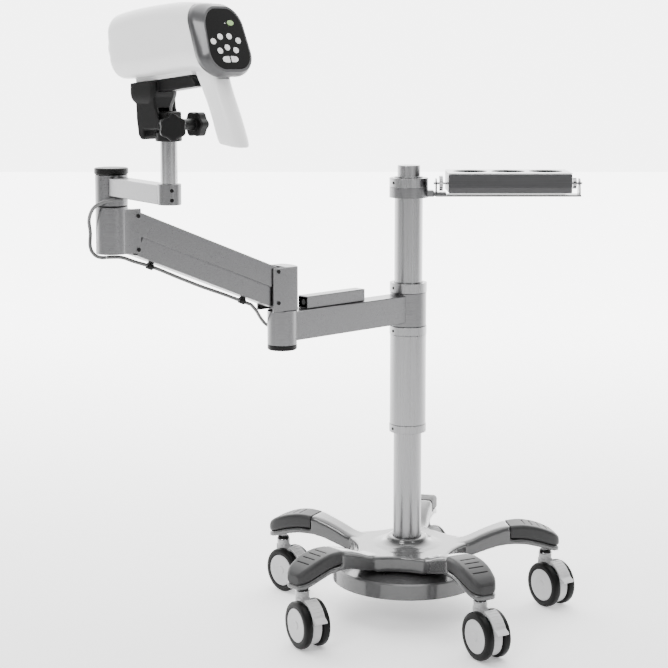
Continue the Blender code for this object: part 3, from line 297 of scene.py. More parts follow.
def box(size, centre=(0, 0, 0), bevel=0.0):
    shape = bmesh.new()
    bmesh.ops.create_cube(shape, size=1.0)
    bmesh.ops.scale(shape, vec=size, verts=shape.verts)
    bevelled(shape, bevel, list(shape.edges))
    bmesh.ops.translate(shape, vec=centre, verts=shape.verts)
    return mesh_from(shape)


def cylinder(radius, low, high, bevel=0.0, axis="Z", at=(0, 0, 0)):
    """A cylinder from low to high along an axis through a point."""
    shape = bmesh.new()
    bmesh.ops.create_cone(shape, cap_ends=True, segments=round_sides(radius), radius1=radius,
                          radius2=radius, depth=high - low)
    bmesh.ops.translate(shape, vec=(0, 0, (low + high) / 2), verts=shape.verts)
    if bevel:
        rims = [e for e in shape.edges if e.calc_face_angle(0.0) > radians(60)]
        bevelled(shape, bevel, rims)
    turn = {"Z": Matrix(), "X": Matrix.Rotation(pi / 2, 4, "Y"),
            "Y": Matrix.Rotation(-pi / 2, 4, "X")}[axis]
    shape.transform(Matrix.Translation(at) @ turn)
    return mesh_from(shape)


def outline_plate(points, low, high, bevel=0.0):
    """A flat outline in X and Y, extruded from low to high."""
    curve = bpy.data.curves.new("outline", "CURVE")
    curve.dimensions = "2D"
    curve.fill_mode = "BOTH"
    curve.extrude = (high - low) / 2
    line = curve.splines.new("POLY")
    line.points.add(len(points) - 1)
    for spot, (x, y) in zip(line.points, points):
        spot.co = (x, y, 0, 1)
    line.use_cyclic_u = True
    mesh = curve_to_mesh(curve)
    shape = bmesh.new()
    shape.from_mesh(mesh)
    bmesh.ops.dissolve_limit(shape, angle_limit=radians(0.5), verts=shape.verts, edges=shape.edges)
    bmesh.ops.translate(shape, vec=(0, 0, (low + high) / 2), verts=shape.verts)
    if bevel:
        rims = [e for e in shape.edges if abs(e.verts[0].co.z - e.verts[1].co.z) < 1e-6]
        bevelled(shape, bevel, rims)
    return mesh_from(shape)


def curve_to_mesh(curve):
    holder = bpy.data.objects.new("curve_holder", curve)
    bpy.context.scene.collection.objects.link(holder)
    graph = bpy.context.evaluated_depsgraph_get()
    mesh = bpy.data.meshes.new_from_object(holder.evaluated_get(graph))
    shape = bmesh.new()
    shape.from_mesh(mesh)
    bmesh.ops.remove_doubles(shape, verts=shape.verts, dist=1e-6)
    bmesh.ops.recalc_face_normals(shape, faces=shape.faces)
    shape.to_mesh(mesh)
    shape.free()
    bpy.data.objects.remove(holder)
    bpy.data.curves.remove(curve)
    return mesh


def turned(profile):
    """A turned solid from (radius, z) points listed from the top down; open ends meet the axis."""
    steps = round_sides(max(r for r, _ in profile))
    mesh = bpy.data.meshes.new("profile")
    mesh.from_pydata([(r, 0, z) for r, z in profile], [(i, i + 1) for i in range(len(profile) - 1)], [])
    holder = bpy.data.objects.new("profile_holder", mesh)
    bpy.context.scene.collection.objects.link(holder)
    screw = holder.modifiers.new("turn", "SCREW")
    screw.steps = screw.render_steps = steps
    screw.use_merge_vertices = True
    screw.merge_threshold = 0.00002
    graph = bpy.context.evaluated_depsgraph_get()
    solid = bpy.data.meshes.new_from_object(holder.evaluated_get(graph))
    bpy.data.objects.remove(holder)
    shape = bmesh.new()
    shape.from_mesh(solid)
    bmesh.ops.remove_doubles(shape, verts=shape.verts, dist=2e-6)
    return mesh_from(shape)


def ring(outer, inner, low, high):
    """A collar: a short plain tube."""
    return turned([(inner, high), (outer, high), (outer, low), (inner, low), (inner, high)])


def between(a, b, c, d, t):
    """A point from b (t = 0) to c (t = 1) on the smooth curve through a, b, c and d."""
    return 0.5 * (2 * b + (c - a) * t + (2 * a - 5 * b + 4 * c - d) * t * t
                  + (3 * b - a - 3 * c + d) * t ** 3)


def flowing(sections, steps=5):
    """The same sections with smoothly blended ones put in between."""
    rows = [[Vector(p) for p in section] for section in sections]
    rows = [rows[0], *rows, rows[-1]]
    out = [[between(*points, k / steps) for points in zip(*near)]
           for near in zip(rows, rows[1:], rows[2:], rows[3:]) for k in range(steps)]
    return [*out, rows[-1]]


def loft(sections):
    """A solid through closed sections, each a list of points of one length, capped at both ends."""
    if len(sections) > 2:
        sections = flowing(sections)
    shape = bmesh.new()
    rows = [[shape.verts.new(p) for p in section] for section in sections]
    count = len(rows[0])
    for near, far in zip(rows, rows[1:]):
        for i in range(count):
            j = (i + 1) % count
            shape.faces.new((near[i], near[j], far[j], far[i]))
    shape.faces.new(list(reversed(rows[0])))
    shape.faces.new(rows[-1])
    bmesh.ops.triangulate(shape, faces=shape.faces)
    return mesh_from(shape)


def rounded_section(half_width, half_height, radius, corner_steps=2):
    """Points of a rounded rectangle in (u, v), counter-clockwise from the lower right corner."""
    corner_steps *= 5
    points = []
    for k, (su, sv) in enumerate(((1, -1), (1, 1), (-1, 1), (-1, -1))):
        cu, cv = su * (half_width - radius), sv * (half_height - radius)
        for step in range(corner_steps + 1):
            angle = radians(-90 + 90 * k + 90 * step / corner_steps)
            points.append((cu + radius * cos(angle), cv + radius * sin(angle)))
    return points


def join(mesh):
    return "UNION", mesh


def cut(mesh):
    return "DIFFERENCE", mesh


def combine(name, base_mesh, operations, matrix, material):
    """A named piece made of a base mesh and a list of join and cut steps."""
    base = add(name + "_base", base_mesh, matrix)
    tools = []
    for number, (operation, mesh) in enumerate(operations):
        tool = add(f"{name}_{operation.lower()}_{number}", mesh, matrix)
        tools.append(tool)
        step = base.modifiers.new(f"{operation.lower()}_{number}", "BOOLEAN")
        step.operation, step.solver, step.object = operation, "MANIFOLD", tool
    solid = evaluated_mesh(base)
    for old in (base, *tools):
        bpy.data.objects.remove(old, do_unlink=True)
    shape = bmesh.new()
    shape.from_mesh(solid)
    bmesh.ops.dissolve_limit(shape, angle_limit=radians(0.2), verts=shape.verts, edges=shape.edges)
    shape.to_mesh(solid)
    shape.free()
    return add(name, solid, matrix, material)


def smooth_route(points, step):
    """Points every step metres along one smooth curve through the route's own points."""
    spots = [Vector(p) for p in points]
    spots = [2 * spots[0] - spots[1], *spots, 2 * spots[-1] - spots[-2]]
    parts = 24
    fine = [between(*near, k / parts)
            for near in zip(spots, spots[1:], spots[2:], spots[3:]) for k in range(parts)]
    fine.append(spots[-2])
    lengths = [0.0]
    for a, b in zip(fine, fine[1:]):
        lengths.append(lengths[-1] + (b - a).length)
    count = max(2, round(lengths[-1] / step))
    route = []
    for k in range(count + 1):
        want = lengths[-1] * k / count
        i = next((n for n in range(1, len(lengths)) if lengths[n] >= want - 1e-9), len(lengths) - 1)
        part = (want - lengths[i - 1]) / (lengths[i] - lengths[i - 1])
        route.append(fine[i - 1].lerp(fine[i], part))
    return route


def cable(name, points, radius=CABLE_RADIUS, material="cable_grey"):
    """A cable along a route given in the stand's frame."""
    curve = bpy.data.curves.new(name, "CURVE")
    curve.dimensions = "3D"
    curve.bevel_depth = radius
    curve.bevel_resolution = 6
    curve.use_fill_caps = True
    route = smooth_route(points, radius)
    line = curve.splines.new("POLY")
    line.points.add(len(route) - 1)
    for spot, p in zip(line.points, route):
        spot.co = (*p, 1)
    return add(name, curve_to_mesh(curve), Matrix.Translation(COLUMN), material)

# ---- base

PAD_START = 0.23    # the rubber pads run from here to the leg tips
LEG_TIP = 0.3465
PAD_SHELF = 0.012    # thickness of the casting's lip under a pad
STEM_SOCKET_TOP = 0.149
SOCKET_RADIUS = TUBE_RADIUS + GAP

# along a leg: distance from the column axis, half width, underside, top
LEG_STATIONS = (
    (0.098, 0.03, 0.119, 0.15), (0.135, 0.0275, 0.1215, 0.156),
    (0.17, 0.0265, 0.131, 0.17), (0.2, 0.0275, 0.14, 0.1805), (0.23, 0.03, 0.145, 0.187),
    (0.262, 0.0325, 0.144, 0.188), (0.295, 0.033, 0.137, 0.182), (0.325, 0.0295, 0.127, 0.1705),
    (0.34, 0.0235, 0.1235, 0.161), (LEG_TIP, 0.016, 0.123, 0.154),
)
CORE_HALF = 0.017    # half width of the hollow that a pad slips over its core with


def hollow_top(distance, low, high):
    """Top of a pad's hollow, which runs out at the shelf near the leg's tip."""
    return high - 0.008 if distance < 0.33 else low + PAD_SHELF + 0.0006


def leg_section(distance, half_width, low, high, radius=0.008):
    half_height = (high - low) / 2
    radius = min(radius, 0.9 * half_height, 0.9 * half_width)
    return [(distance, u, low + half_height + v)
            for u, v in rounded_section(half_width, half_height, radius, 1)]


def casting_section(distance, half_width, low, high, under_pad):
    """A leg's section: a full body with eased top edges or, under a pad, a lip and the pad's core."""
    if under_pad:
        shelf, core = low + PAD_SHELF, CORE_HALF - GAP
        top = hollow_top(distance, low, high) - 0.0004
        right = [(half_width, low), (half_width, shelf), (core, shelf), (core - 0.001, top)]
    else:
        right = [(half_width, low), (half_width, high - 0.01), (half_width - 0.003, high - 0.003),
                 (half_width - 0.01, high)]
    left = [(-u, z) for u, z in reversed(right)]
    return [(distance, u, z) for u, z in right + left]


def leg_mesh(angle):
    """One leg, from inside the hub's web to its tip."""
    sections = [casting_section(*s, False) for s in LEG_STATIONS if s[0] <= PAD_START]
    under_pad = [s for s in LEG_STATIONS if s[0] >= PAD_START]
    sections += [casting_section(r + (0.0006 if r == PAD_START else 0), w, low, high, True)
                 for r, w, low, high in under_pad]
    return moved(loft(sections), Matrix.Rotation(radians(angle), 4, "Z"))


def leg_top(distance):
    for (r0, _, _, z0), (r1, _, _, z1) in zip(LEG_STATIONS, LEG_STATIONS[1:]):
        if r0 <= distance <= r1:
            return z0 + (z1 - z0) * (distance - r0) / (r1 - r0)
    return LEG_STATIONS[-1][3]


def pad_solids():
    """A pad's outer block and the hollow that its core fills."""
    stations = [s for s in LEG_STATIONS if s[0] >= PAD_START]
    pad = [leg_section(r + (0.0012 if r == PAD_START else 0), w, low + PAD_SHELF + GAP, high)
           for r, w, low, high in stations]
    hollow = [[(r - (0.02 if r == PAD_START else 0), u, z) for u, z in (
        (CORE_HALF, low), (CORE_HALF, hollow_top(r, low, high)), (-CORE_HALF, hollow_top(r, low, high)),
        (-CORE_HALF, low))] for r, w, low, high in stations if r < 0.345]
    return loft(pad), loft(hollow)


def star_outline():
    """The hub's web in plan: a concave bay between each pair of legs."""
    points = []
    for angle in LEG_ANGLES:
        for turn, radius in ((-13, 0.132), (13, 0.132), (25, 0.117), (36, 0.113), (47, 0.117)):
            spot = polar(angle + turn, radius)
            points.append((spot.x, spot.y))
    return points


def build_base():
    steps = [join(leg_mesh(angle)) for angle in LEG_ANGLES]
    neck = turned([(0, STAR_HEIGHT), (0.044, STAR_HEIGHT), (0.047, 0.16), (0.056, 0.1545),
                   (0.085, 0.151), (0.085, 0.122), (0, 0.122)])
    steps.append(join(neck))
    steps.append(cut(cylinder(SOCKET_RADIUS, STAR_HEIGHT - SOCKET_DEPTH, STAR_HEIGHT + 0.01)))
    for angle in LEG_ANGLES:
        stem = polar(angle, CASTER_RADIUS)
        steps.append(cut(cylinder(STEM_RADIUS * 1.12, 0.1, STEM_SOCKET_TOP, at=stem)))
    web = outline_plate(star_outline(), 0.117, 0.152, 0.003)
    combine("base_star", web, steps, place(), "grey_paint")

    for number, angle in enumerate(LEG_ANGLES, 1):
        pad, hollow = pad_solids()
        grooves = [cut(box((0.0026, 0.036, 0.006), (r, 0, leg_top(r) + 0.001)))
                   for r in (0.266, 0.283, 0.3, 0.317)]
        combine(f"footrest_pad_{number}", pad, [cut(hollow), *grooves], place((0, 0, 0), angle),
                "grey_rubber")

    rim = BALLAST_RADIUS
    disc = turned([(0, 0.1115), (0.098, 0.1115), (0.104, 0.1085), (rim - 0.003, 0.108), (rim, 0.105),
                   (rim, 0.073), (0, 0.073)])
    steps = [join(cylinder(0.03, 0.11, 0.117 - GAP))]
    combine("ballast_disc", disc, steps, place(), "grey_paint")

# ---- casters

WHEEL_INNER = CASTER_WIDTH / 2 - WHEEL_WIDTH
AXLE_RADIUS = 0.004
FORK_RADIUS = 0.044
PEDAL_PIN_X = 0.027    # from the stem axis
PEDAL_PIN_Z = 0.088
PEDAL_INNER = WHEEL_RADIUS + 0.0012
PEDAL_OUTER = WHEEL_RADIUS + 0.006


def wheel_mesh(side):
    """One tyre, its tread crowned and its shoulders round, hollowed for the hub disc."""
    half = WHEEL_WIDTH / 2
    wheel = turned([(0, half - 0.003), (0.035, half - 0.003), (0.0362, half - 0.0004), (0.04, half),
                    (0.0452, half - 0.0005), (0.0486, half - 0.0026), (WHEEL_RADIUS, half - 0.0055),
                    (WHEEL_RADIUS, 0.0055 - half), (0.0486, 0.0026 - half), (0.0452, 0.0005 - half),
                    (0.04, -half), (0, -half)])
    shift = Matrix.Translation((0, side * (CASTER_WIDTH / 2 - half), 0))
    return moved(wheel, shift @ Matrix.Rotation(-side * pi / 2, 4, "X"))


def arc_points(radius, start_deg, end_deg, steps):
    """Points of an arc about the wheel's centre, in the caster's X and Z."""
    spots = []
    steps *= 6
    for k in range(steps + 1):
        angle = radians(start_deg + (end_deg - start_deg) * k / steps)
        spots.append((CASTER_TRAIL + radius * cos(angle), WHEEL_RADIUS + radius * sin(angle)))
    return spots


def side_plate(points, half_width):
    """An outline in X and Z, given a width in Y."""
    mesh = outline_plate([(x, -z) for x, z in points], -half_width, half_width)
    return moved(mesh, Matrix.Rotation(-pi / 2, 4, "X"))


def build_caster(number, angle, axle_heading):
    stand = polar(angle, CASTER_RADIUS)
    here = place(stand, axle_heading - 90)
    fork_half = WHEEL_INNER - 0.0006
    fork_line = arc_points(FORK_RADIUS, 62, -180, 9)
    fork_line += [(-0.0135, 0.062), (-0.0135, 0.103), (0.0135, 0.103), (0.0165, 0.093), (0.025, 0.081)]
    fork = side_plate(fork_line, fork_half)
    centre = (CASTER_TRAIL, 0, WHEEL_RADIUS)
    head = turned([(0, 0.1145), (0.0125, 0.1145), (0.0145, 0.1125), (0.0145, 0.1012), (0, 0.1012)])
    steps = [
        join(head),
        join(cylinder(STEM_RADIUS, 0.11, STEM_SOCKET_TOP - GAP)),
        cut(cylinder(AXLE_RADIUS + GAP, -0.02, 0.02, axis="Y", at=centre)),
        join(cylinder(0.0022, -0.0088, 0.0088, axis="Y", at=(PEDAL_PIN_X, 0, PEDAL_PIN_Z))),
        join(box((0.0045, 0.0036, 0.016), (PEDAL_PIN_X, 0, PEDAL_PIN_Z - 0.007))),
    ]
    combine(f"caster_{number}_fork", fork, steps, here, "caster_plastic")

    at_axle = place(stand, axle_heading - 90) @ Matrix.Translation(centre)
    steps = [join(wheel_mesh(-1)),
             join(cylinder(AXLE_RADIUS, -0.02, 0.02, axis="Y"))]
    combine(f"caster_{number}_wheels", wheel_mesh(1), steps, at_axle, "tyre")

    treadle = side_plate(arc_points(PEDAL_OUTER, 78, 27, 4) + [(0.083, 0.069), (0.0815, 0.065)]
                         + arc_points(PEDAL_INNER, 24, 78, 4), 0.014)
    arms = []
    for side in (-1, 1):
        ear_line = [(0.0248, 0.086), (0.029, 0.0848)] + arc_points(FORK_RADIUS + 0.0012, 66, 40, 2)
        ear_line += arc_points(PEDAL_INNER + 0.002, 40, 76, 2) + [(0.03, 0.0925), (0.024, 0.092)]
        ear = moved(side_plate(ear_line, 0.0022), Matrix.Translation((0, side * 0.0048, 0)))
        arms.append(join(ear))
    pin_hole = cylinder(0.0022 + 0.0004, -0.02, 0.02, axis="Y", at=(PEDAL_PIN_X, 0, PEDAL_PIN_Z))
    steps = [*arms, cut(pin_hole)]
    pin = Vector((PEDAL_PIN_X, 0, PEDAL_PIN_Z))
    to_pin = Matrix.Translation(-pin)
    steps = [(operation, moved(mesh, to_pin)) for operation, mesh in steps]
    combine(f"caster_{number}_brake", moved(treadle, to_pin), steps, here @ Matrix.Translation(pin),
            "caster_plastic")

# ---- column

def build_column():
    here = place()
    bore = TUBE_RADIUS - TUBE_WALL
    low = STAR_HEIGHT - SOCKET_DEPTH + GAP
    tube = turned([(bore, TUBE_TOP), (TUBE_RADIUS, TUBE_TOP), (TUBE_RADIUS, low), (bore, low),
                   (bore, TUBE_TOP)])
    add("column_tube", tube, here, "satin_tube")

    plug = bore - GAP
    flange, flange_base = TUBE_RADIUS - 0.001, TUBE_TOP + GAP
    end, step, foot = SPIGOT_RADIUS, flange_base + 0.004, TUBE_TOP - 0.03
    spigot = turned([(0, SPIGOT_TOP), (end - 0.001, SPIGOT_TOP), (end, SPIGOT_TOP - 0.001), (end, step),
                     (flange, step), (flange, flange_base), (plug, flange_base), (plug, foot), (0, foot)])
    add("column_spigot", spigot, here, "satin_tube")

    inner = TUBE_RADIUS + 0.0005
    for name, low, high, outer in (
            ("sleeve_base_collar", SLEEVE_BASE, SLEEVE_BASE + COLLAR_HEIGHT, COLLAR_RADIUS),
            ("spacer_sleeve", SLEEVE_BASE + COLLAR_HEIGHT + GAP, 0.625, SLEEVE_RADIUS),
            ("arm_support_collar", 0.6253, HUB_BASE - GAP, COLLAR_RADIUS),
            ("arm_stop_collar", HUB_TOP + GAP, 0.74, COLLAR_RADIUS),
            ("top_clamp_collar", TRAY_RING_TOP + GAP, CLAMP_TOP, CLAMP_RADIUS)):
        add(name, ring(outer, inner, low, high), here, "satin_tube")

# ---- cup tray

BRACKET_PLATE = (0.9295, 0.9335)
KNOB_STUD = 0.0025


def knurled_knob(radius, low, high, stud_low, stud_high):
    """A knurled disc on a plain stud, along X."""
    rim = []
    for k in range(96):
        angle = 2 * pi * k / 96
        r = radius if k % 4 < 2 else radius - 0.0008
        rim.append((r * cos(angle), r * sin(angle)))
    disc = moved(outline_plate(rim, low, high), Matrix.Rotation(pi / 2, 4, "Y"))
    return disc, cylinder(KNOB_STUD, stud_low, stud_high, axis="X")


def build_tray():
    here = place()
    swing = ring(CLAMP_RADIUS, TUBE_RADIUS + 0.0006, TRAY_RING_BASE, TRAY_RING_TOP)
    lug = box((0.016, 0.028, 0.014), (0.0385 + 0.008, 0, 0.9355), 0.001)
    combine("tray_swing_ring", swing, [join(lug)], here, "brushed_aluminium")

    left, right = BRACKET_LEFT_X, BRACKET_RIGHT_X
    low, high = BRACKET_PLATE
    plate = box((right - left, 0.044, high - low), ((left + right) / 2, 0, (low + high) / 2), 0.0006)
    tongue = box((0.026, 0.026, 0.0085), (0.0548 + 0.013, 0, 0.93425), 0.0006)
    steps = [join(tongue)]
    for x in (left + 0.002, right - 0.002):
        line = [(-0.018, low + 0.001), (0.018, low + 0.001), (0.012, TRAY_PIVOT_Z + 0.006), (0.006, 0.968),
                (-0.006, 0.968), (-0.012, TRAY_PIVOT_Z + 0.006)]
        ear = outline_plate(line, -0.0015, 0.0015)
        upright = Matrix(((0, 0, 1, x), (1, 0, 0, 0), (0, 1, 0, 0), (0, 0, 0, 1)))
        steps.append(join(moved(ear, upright)))
        hole = cylinder(KNOB_STUD + 0.0004, -0.01, 0.01, axis="X", at=(x, 0, TRAY_PIVOT_Z))
        steps.append(cut(hole))
    combine("tray_bracket", plate, steps, here, "brushed_aluminium")

    centre = Vector((TRAY_CENTRE_X, 0, TRAY_PIVOT_Z))
    tray_here = place(centre)
    wall, top = 0.002, 0.003
    base_z, lid_z = TRAY_BASE - TRAY_PIVOT_Z, TRAY_TOP - top - TRAY_PIVOT_Z
    body = box((TRAY_LENGTH, TRAY_DEPTH, lid_z - base_z), (0, 0, (base_z + lid_z) / 2), 0.0015)
    hollow = box((TRAY_LENGTH - 2 * wall, TRAY_DEPTH - 2 * wall, 0.1), (0, 0, base_z + wall + 0.05))
    steps = [cut(hollow)]
    for side in (-1, 1):
        steps.append(cut(cylinder(KNOB_STUD + 0.0004, -0.01, 0.01, axis="X",
                                             at=(side * TRAY_LENGTH / 2, 0, 0))))
    combine("tray_box", body, steps, tray_here, "dark_aluminium")

    lid = box((TRAY_LENGTH, TRAY_DEPTH, top - GAP), (0, 0, lid_z + (top + GAP) / 2), 0.0008)
    steps = [cut(cylinder(CUP_RADIUS, lid_z - 0.01, lid_z + 0.01, at=(k * CUP_PITCH, 0, 0)))
             for k in (-1, 0, 1)]
    combine("tray_lid", lid, steps, tray_here, "white_plastic")

    gap_left = TRAY_CENTRE_X - TRAY_LENGTH / 2
    gap_right = TRAY_CENTRE_X + TRAY_LENGTH / 2
    for name, radius, near, far, stud_near, stud_far in (
            ("tray_left_knob", 0.0165, left + 0.0085, left + 0.0165, left - 0.0035, gap_left + 0.006),
            ("tray_right_knob", 0.012, right - 0.0165, right - 0.0085, gap_right - 0.006, right + 0.0045)):
        disc, stud = knurled_knob(radius, near, far, stud_near, stud_far)
        combine(name, disc, [join(stud)], place((0, 0, TRAY_PIVOT_Z)), "steel")

# ---- lower arm

BEAM_LOW, BEAM_HIGH = 0.654, 0.714
ELBOW_TOP = 0.7176
ELBOW_BASE = 0.646
ELBOW_PIN = 0.012
CAP_BASE = 0.6356


def build_lower_arm():
    here = place((0, 0, 0), LOWER_ARM_ANGLE)
    beam = box((0.33, 0.048, BEAM_HIGH - BEAM_LOW), (0.19, 0, (BEAM_LOW + BEAM_HIGH) / 2), 0.0015)
    at_elbow = (LOWER_ARM_LENGTH, 0, 0)
    steps = [
        join(cylinder(SLEEVE_RADIUS, HUB_BASE, HUB_TOP, 0.001)),
        join(cylinder(BARREL_RADIUS, ELBOW_BASE, ELBOW_TOP, 0.001, at=at_elbow)),
        cut(cylinder(TUBE_RADIUS + 0.0005, HUB_BASE - 0.01, HUB_TOP + 0.01)),
        cut(cylinder(ELBOW_PIN + 0.0004, ELBOW_BASE + 0.012, ELBOW_TOP + 0.01, at=at_elbow)),
        cut(box((0.24, 0.042, 0.05), (0.186, 0, BEAM_LOW + 0.022))),
    ]
    combine("lower_arm", beam, steps, here, "brushed_aluminium")

    top, chamfer = ELBOW_BASE - GAP, 0.002
    cap = turned([(0, top), (BARREL_RADIUS, top), (BARREL_RADIUS, CAP_BASE + chamfer),
                  (BARREL_RADIUS - chamfer, CAP_BASE), (0, CAP_BASE)])
    add("elbow_end_cap", cap, place(ELBOW), "black_plastic")

    low, high = BEAM_HIGH + GAP, BEAM_HIGH + 0.0265
    near, far = 0.146, 0.31
    case = box((far - near, 0.03, high - low), ((near + far) / 2, 0, (low + high) / 2), 0.0012)
    hollow = box((0.15, 0.026, high - low - 0.004), (far - 0.072, 0, (low + high) / 2))
    combine("junction_box", case, [cut(hollow)], here, "brushed_aluminium")

# ---- spring arm

ELBOW_PIVOT = 0.03    # elbow axis to the links' near pins
TIP_PIVOT = 0.04    # tip axis to the links' far pins
SLOPE = atan2(SPRING_ARM_RISE, SPRING_ARM_LENGTH)
LINK_SPAN = SPRING_ARM_LENGTH - ELBOW_PIVOT - TIP_PIVOT
LINK_LENGTH = LINK_SPAN / cos(SLOPE)
LINK_RISE = LINK_SPAN * tan(SLOPE)
UPPER_PIVOT_Z = LOWER_PIVOT_Z + PIVOT_SPACING
PIN_RADIUS = 0.003
LUG_RADIUS = 0.0075
CHEEK_OUTER = 0.02875
CHEEK_INNER = 0.0256
LINK_WIDTH = 0.05
INNER_WIDTH = 0.044
BRACKET_BASE = ELBOW_TOP + GAP
BRACKET_TOP = 0.8085
KNUCKLE_BASE = 0.864
KNUCKLE_TOP = 0.953


def link_frame(pivot_z):
    """World matrix at a link's near pin, +X running along the link."""
    pin = ELBOW + polar(SPRING_ARM_ANGLE, ELBOW_PIVOT, pivot_z)
    return place(pin, SPRING_ARM_ANGLE, -degrees(SLOPE))


def cut_pin_holes(reach_near, reach_far):
    return [cut(cylinder(reach_near, -0.04, 0.04, axis="Y")),
            cut(cylinder(reach_far, -0.04, 0.04, axis="Y", at=(LINK_LENGTH, 0, 0)))]


def build_links():
    clear = PIN_RADIUS + 0.0004
    near, far = 0.002, LINK_LENGTH - 0.004
    # heights square to the link, from its pins
    top, skirt = 0.0086, -0.034
    cover = box((far - near, LINK_WIDTH, top - skirt), ((near + far) / 2, 0, (top + skirt) / 2), 0.0012)
    inside = box((far - near + 0.02, LINK_WIDTH - 0.005, 0.1), ((near + far) / 2, 0, top - 0.0025 - 0.05))
    steps = [cut(inside)]
    for x, inward in ((0, 1), (LINK_LENGTH, -1)):
        steps.append(join(cylinder(LUG_RADIUS, -0.0248, 0.0248, axis="Y", at=(x, 0, 0))))
        steps.append(join(box((0.02, LINK_WIDTH - 0.0004, 0.014), (x + inward * 0.012, 0, 0.0003))))
    combine("upper_link", cover, steps + cut_pin_holes(clear, clear), link_frame(UPPER_PIVOT_Z),
            "brushed_aluminium")

    low, rim = -0.0112, 0.026
    channel = box((far - near, INNER_WIDTH, rim - low), ((near + far) / 2, 0, (rim + low) / 2), 0.0012)
    inside = box((far - near + 0.02, INNER_WIDTH - 0.005, 0.1), ((near + far) / 2, 0, low + 0.0025 + 0.05))
    steps = [cut(inside)]
    for x, inward in ((0, 1), (LINK_LENGTH, -1)):
        steps.append(join(cylinder(LUG_RADIUS, -0.0218, 0.0218, axis="Y", at=(x, 0, 0))))
        steps.append(join(box((0.02, INNER_WIDTH - 0.0006, 0.014), (x + inward * 0.012, 0, -0.0003))))
    open_pivot = PIN_RADIUS + 0.001
    combine("lower_link", channel, steps + cut_pin_holes(clear, open_pivot), link_frame(LOWER_PIVOT_Z),
            "brushed_aluminium")

    body = cylinder(0.009, 0.06, 0.215, 0.001, axis="X", at=(0, 0, 0.009))
    steps = [join(cylinder(0.004, 0.2, 0.29, axis="X", at=(0, 0, 0.009))),
             join(cylinder(0.0065, 0.285, 0.3, axis="X", at=(0, 0, 0.009)))]
    combine("gas_spring", body, steps, link_frame(LOWER_PIVOT_Z), "black_plastic")


def pivot_pin(x, z):
    """A pin with two low socket heads, across the cheeks and fast in them."""
    head = CHEEK_OUTER + 0.0012
    shank = CHEEK_OUTER - 0.0004
    steps = [join(cylinder(PIN_RADIUS, -shank, shank, axis="Y", at=(x, 0, z)))]
    for low, high in ((-head, -CHEEK_OUTER + 0.001), (CHEEK_OUTER - 0.001, head)):
        steps.append(join(cylinder(0.0045, low, high, axis="Y", at=(x, 0, z))))
    return steps


def build_elbow_bracket():
    here = place(ELBOW, SPRING_ARM_ANGLE)
    line = [(-0.016, -CHEEK_OUTER), (0.043, -CHEEK_OUTER), (0.043, CHEEK_OUTER), (-0.016, CHEEK_OUTER)]
    for k in range(1, 32):
        angle = radians(90 + 180 * k / 32)
        line.append((-0.016 + 0.012 * cos(angle), CHEEK_OUTER * sin(angle)))
    block = outline_plate(line, BRACKET_BASE, BRACKET_TOP, 0.0015)
    steps = [
        cut(box((0.06, 2 * CHEEK_INNER, 0.2), (0.008 + 0.03, 0, 0.7225 + 0.1))),
        join(cylinder(ELBOW_PIN, ELBOW_TOP - 0.05, BRACKET_BASE + 0.004)),
        cut(box((0.04, 2 * CHEEK_INNER, 0.03), (0.036, 0, 0.7225))),
    ]
    for z in (LOWER_PIVOT_Z, UPPER_PIVOT_Z):
        steps += pivot_pin(ELBOW_PIVOT, z)
    combine("elbow_bracket", block, steps, here, "brushed_aluminium")


def build_tip_knuckle():
    here = place(TIP, SPRING_ARM_ANGLE + 180)
    line = [(0.0, -CHEEK_OUTER), (0.046, -CHEEK_OUTER), (0.046, CHEEK_OUTER), (0.0, CHEEK_OUTER)]
    cheeks = outline_plate(line, KNUCKLE_BASE, 0.9485, 0.001)
    steps = [
        join(cylinder(BARREL_RADIUS, KNUCKLE_BASE, KNUCKLE_TOP, 0.001)),
        cut(box((0.06, 2 * CHEEK_INNER, 0.3), (0.027 + 0.03, 0, 0.9))),
        join(cylinder(ELBOW_PIN, KNUCKLE_TOP - 0.002, KNUCKLE_TOP + 0.042)),
    ]
    for z in (LOWER_PIVOT_Z + LINK_RISE, UPPER_PIVOT_Z + LINK_RISE):
        steps += pivot_pin(TIP_PIVOT, z)
    combine("tip_knuckle", cheeks, steps, here, "brushed_aluminium")

# ---- short arm and post

SHORT_BASE = 0.955
SHORT_TOP = 1.0137
CLAMP_BASE, CLAMP_TOP_Z = 0.975, 1.012
POST_BASE = CLAMP_BASE + 0.004 + GAP


def build_short_arm():
    here = place(TIP, SHORT_ARM_ANGLE)
    at_post = (SHORT_ARM_LENGTH, 0, 0)
    beam = box((0.222, 0.036, 0.034), (0.122, 0, 0.992), 0.0012)
    steps = [
        join(cylinder(BARREL_RADIUS, SHORT_BASE, SHORT_TOP, 0.001)),
        join(cylinder(0.021, CLAMP_BASE, CLAMP_TOP_Z, 0.001, at=at_post)),
        cut(cylinder(ELBOW_PIN + 0.0004, SHORT_BASE - 0.01, SHORT_BASE + 0.043)),
        cut(cylinder(POST_RADIUS + GAP, POST_BASE - GAP, CLAMP_TOP_Z + 0.01, at=at_post)),
        cut(box((0.14, 0.029, 0.03), (0.122, 0, CLAMP_BASE + 0.01))),
    ]
    combine("short_arm", beam, steps, here, "brushed_aluminium")
    cap = turned([(0, 1.0262), (0.03, 1.0262), (0.032, 1.0245), (0.032, 1.0155),
                  (BARREL_RADIUS, SHORT_TOP + GAP), (0, SHORT_TOP + GAP)])
    add("short_arm_cap", cap, place(TIP), "black_plastic")
    post = cylinder(POST_RADIUS, POST_BASE, POST_TOP, 0.001)
    add("head_post", post, place(POST), "steel")

# ---- camera mount

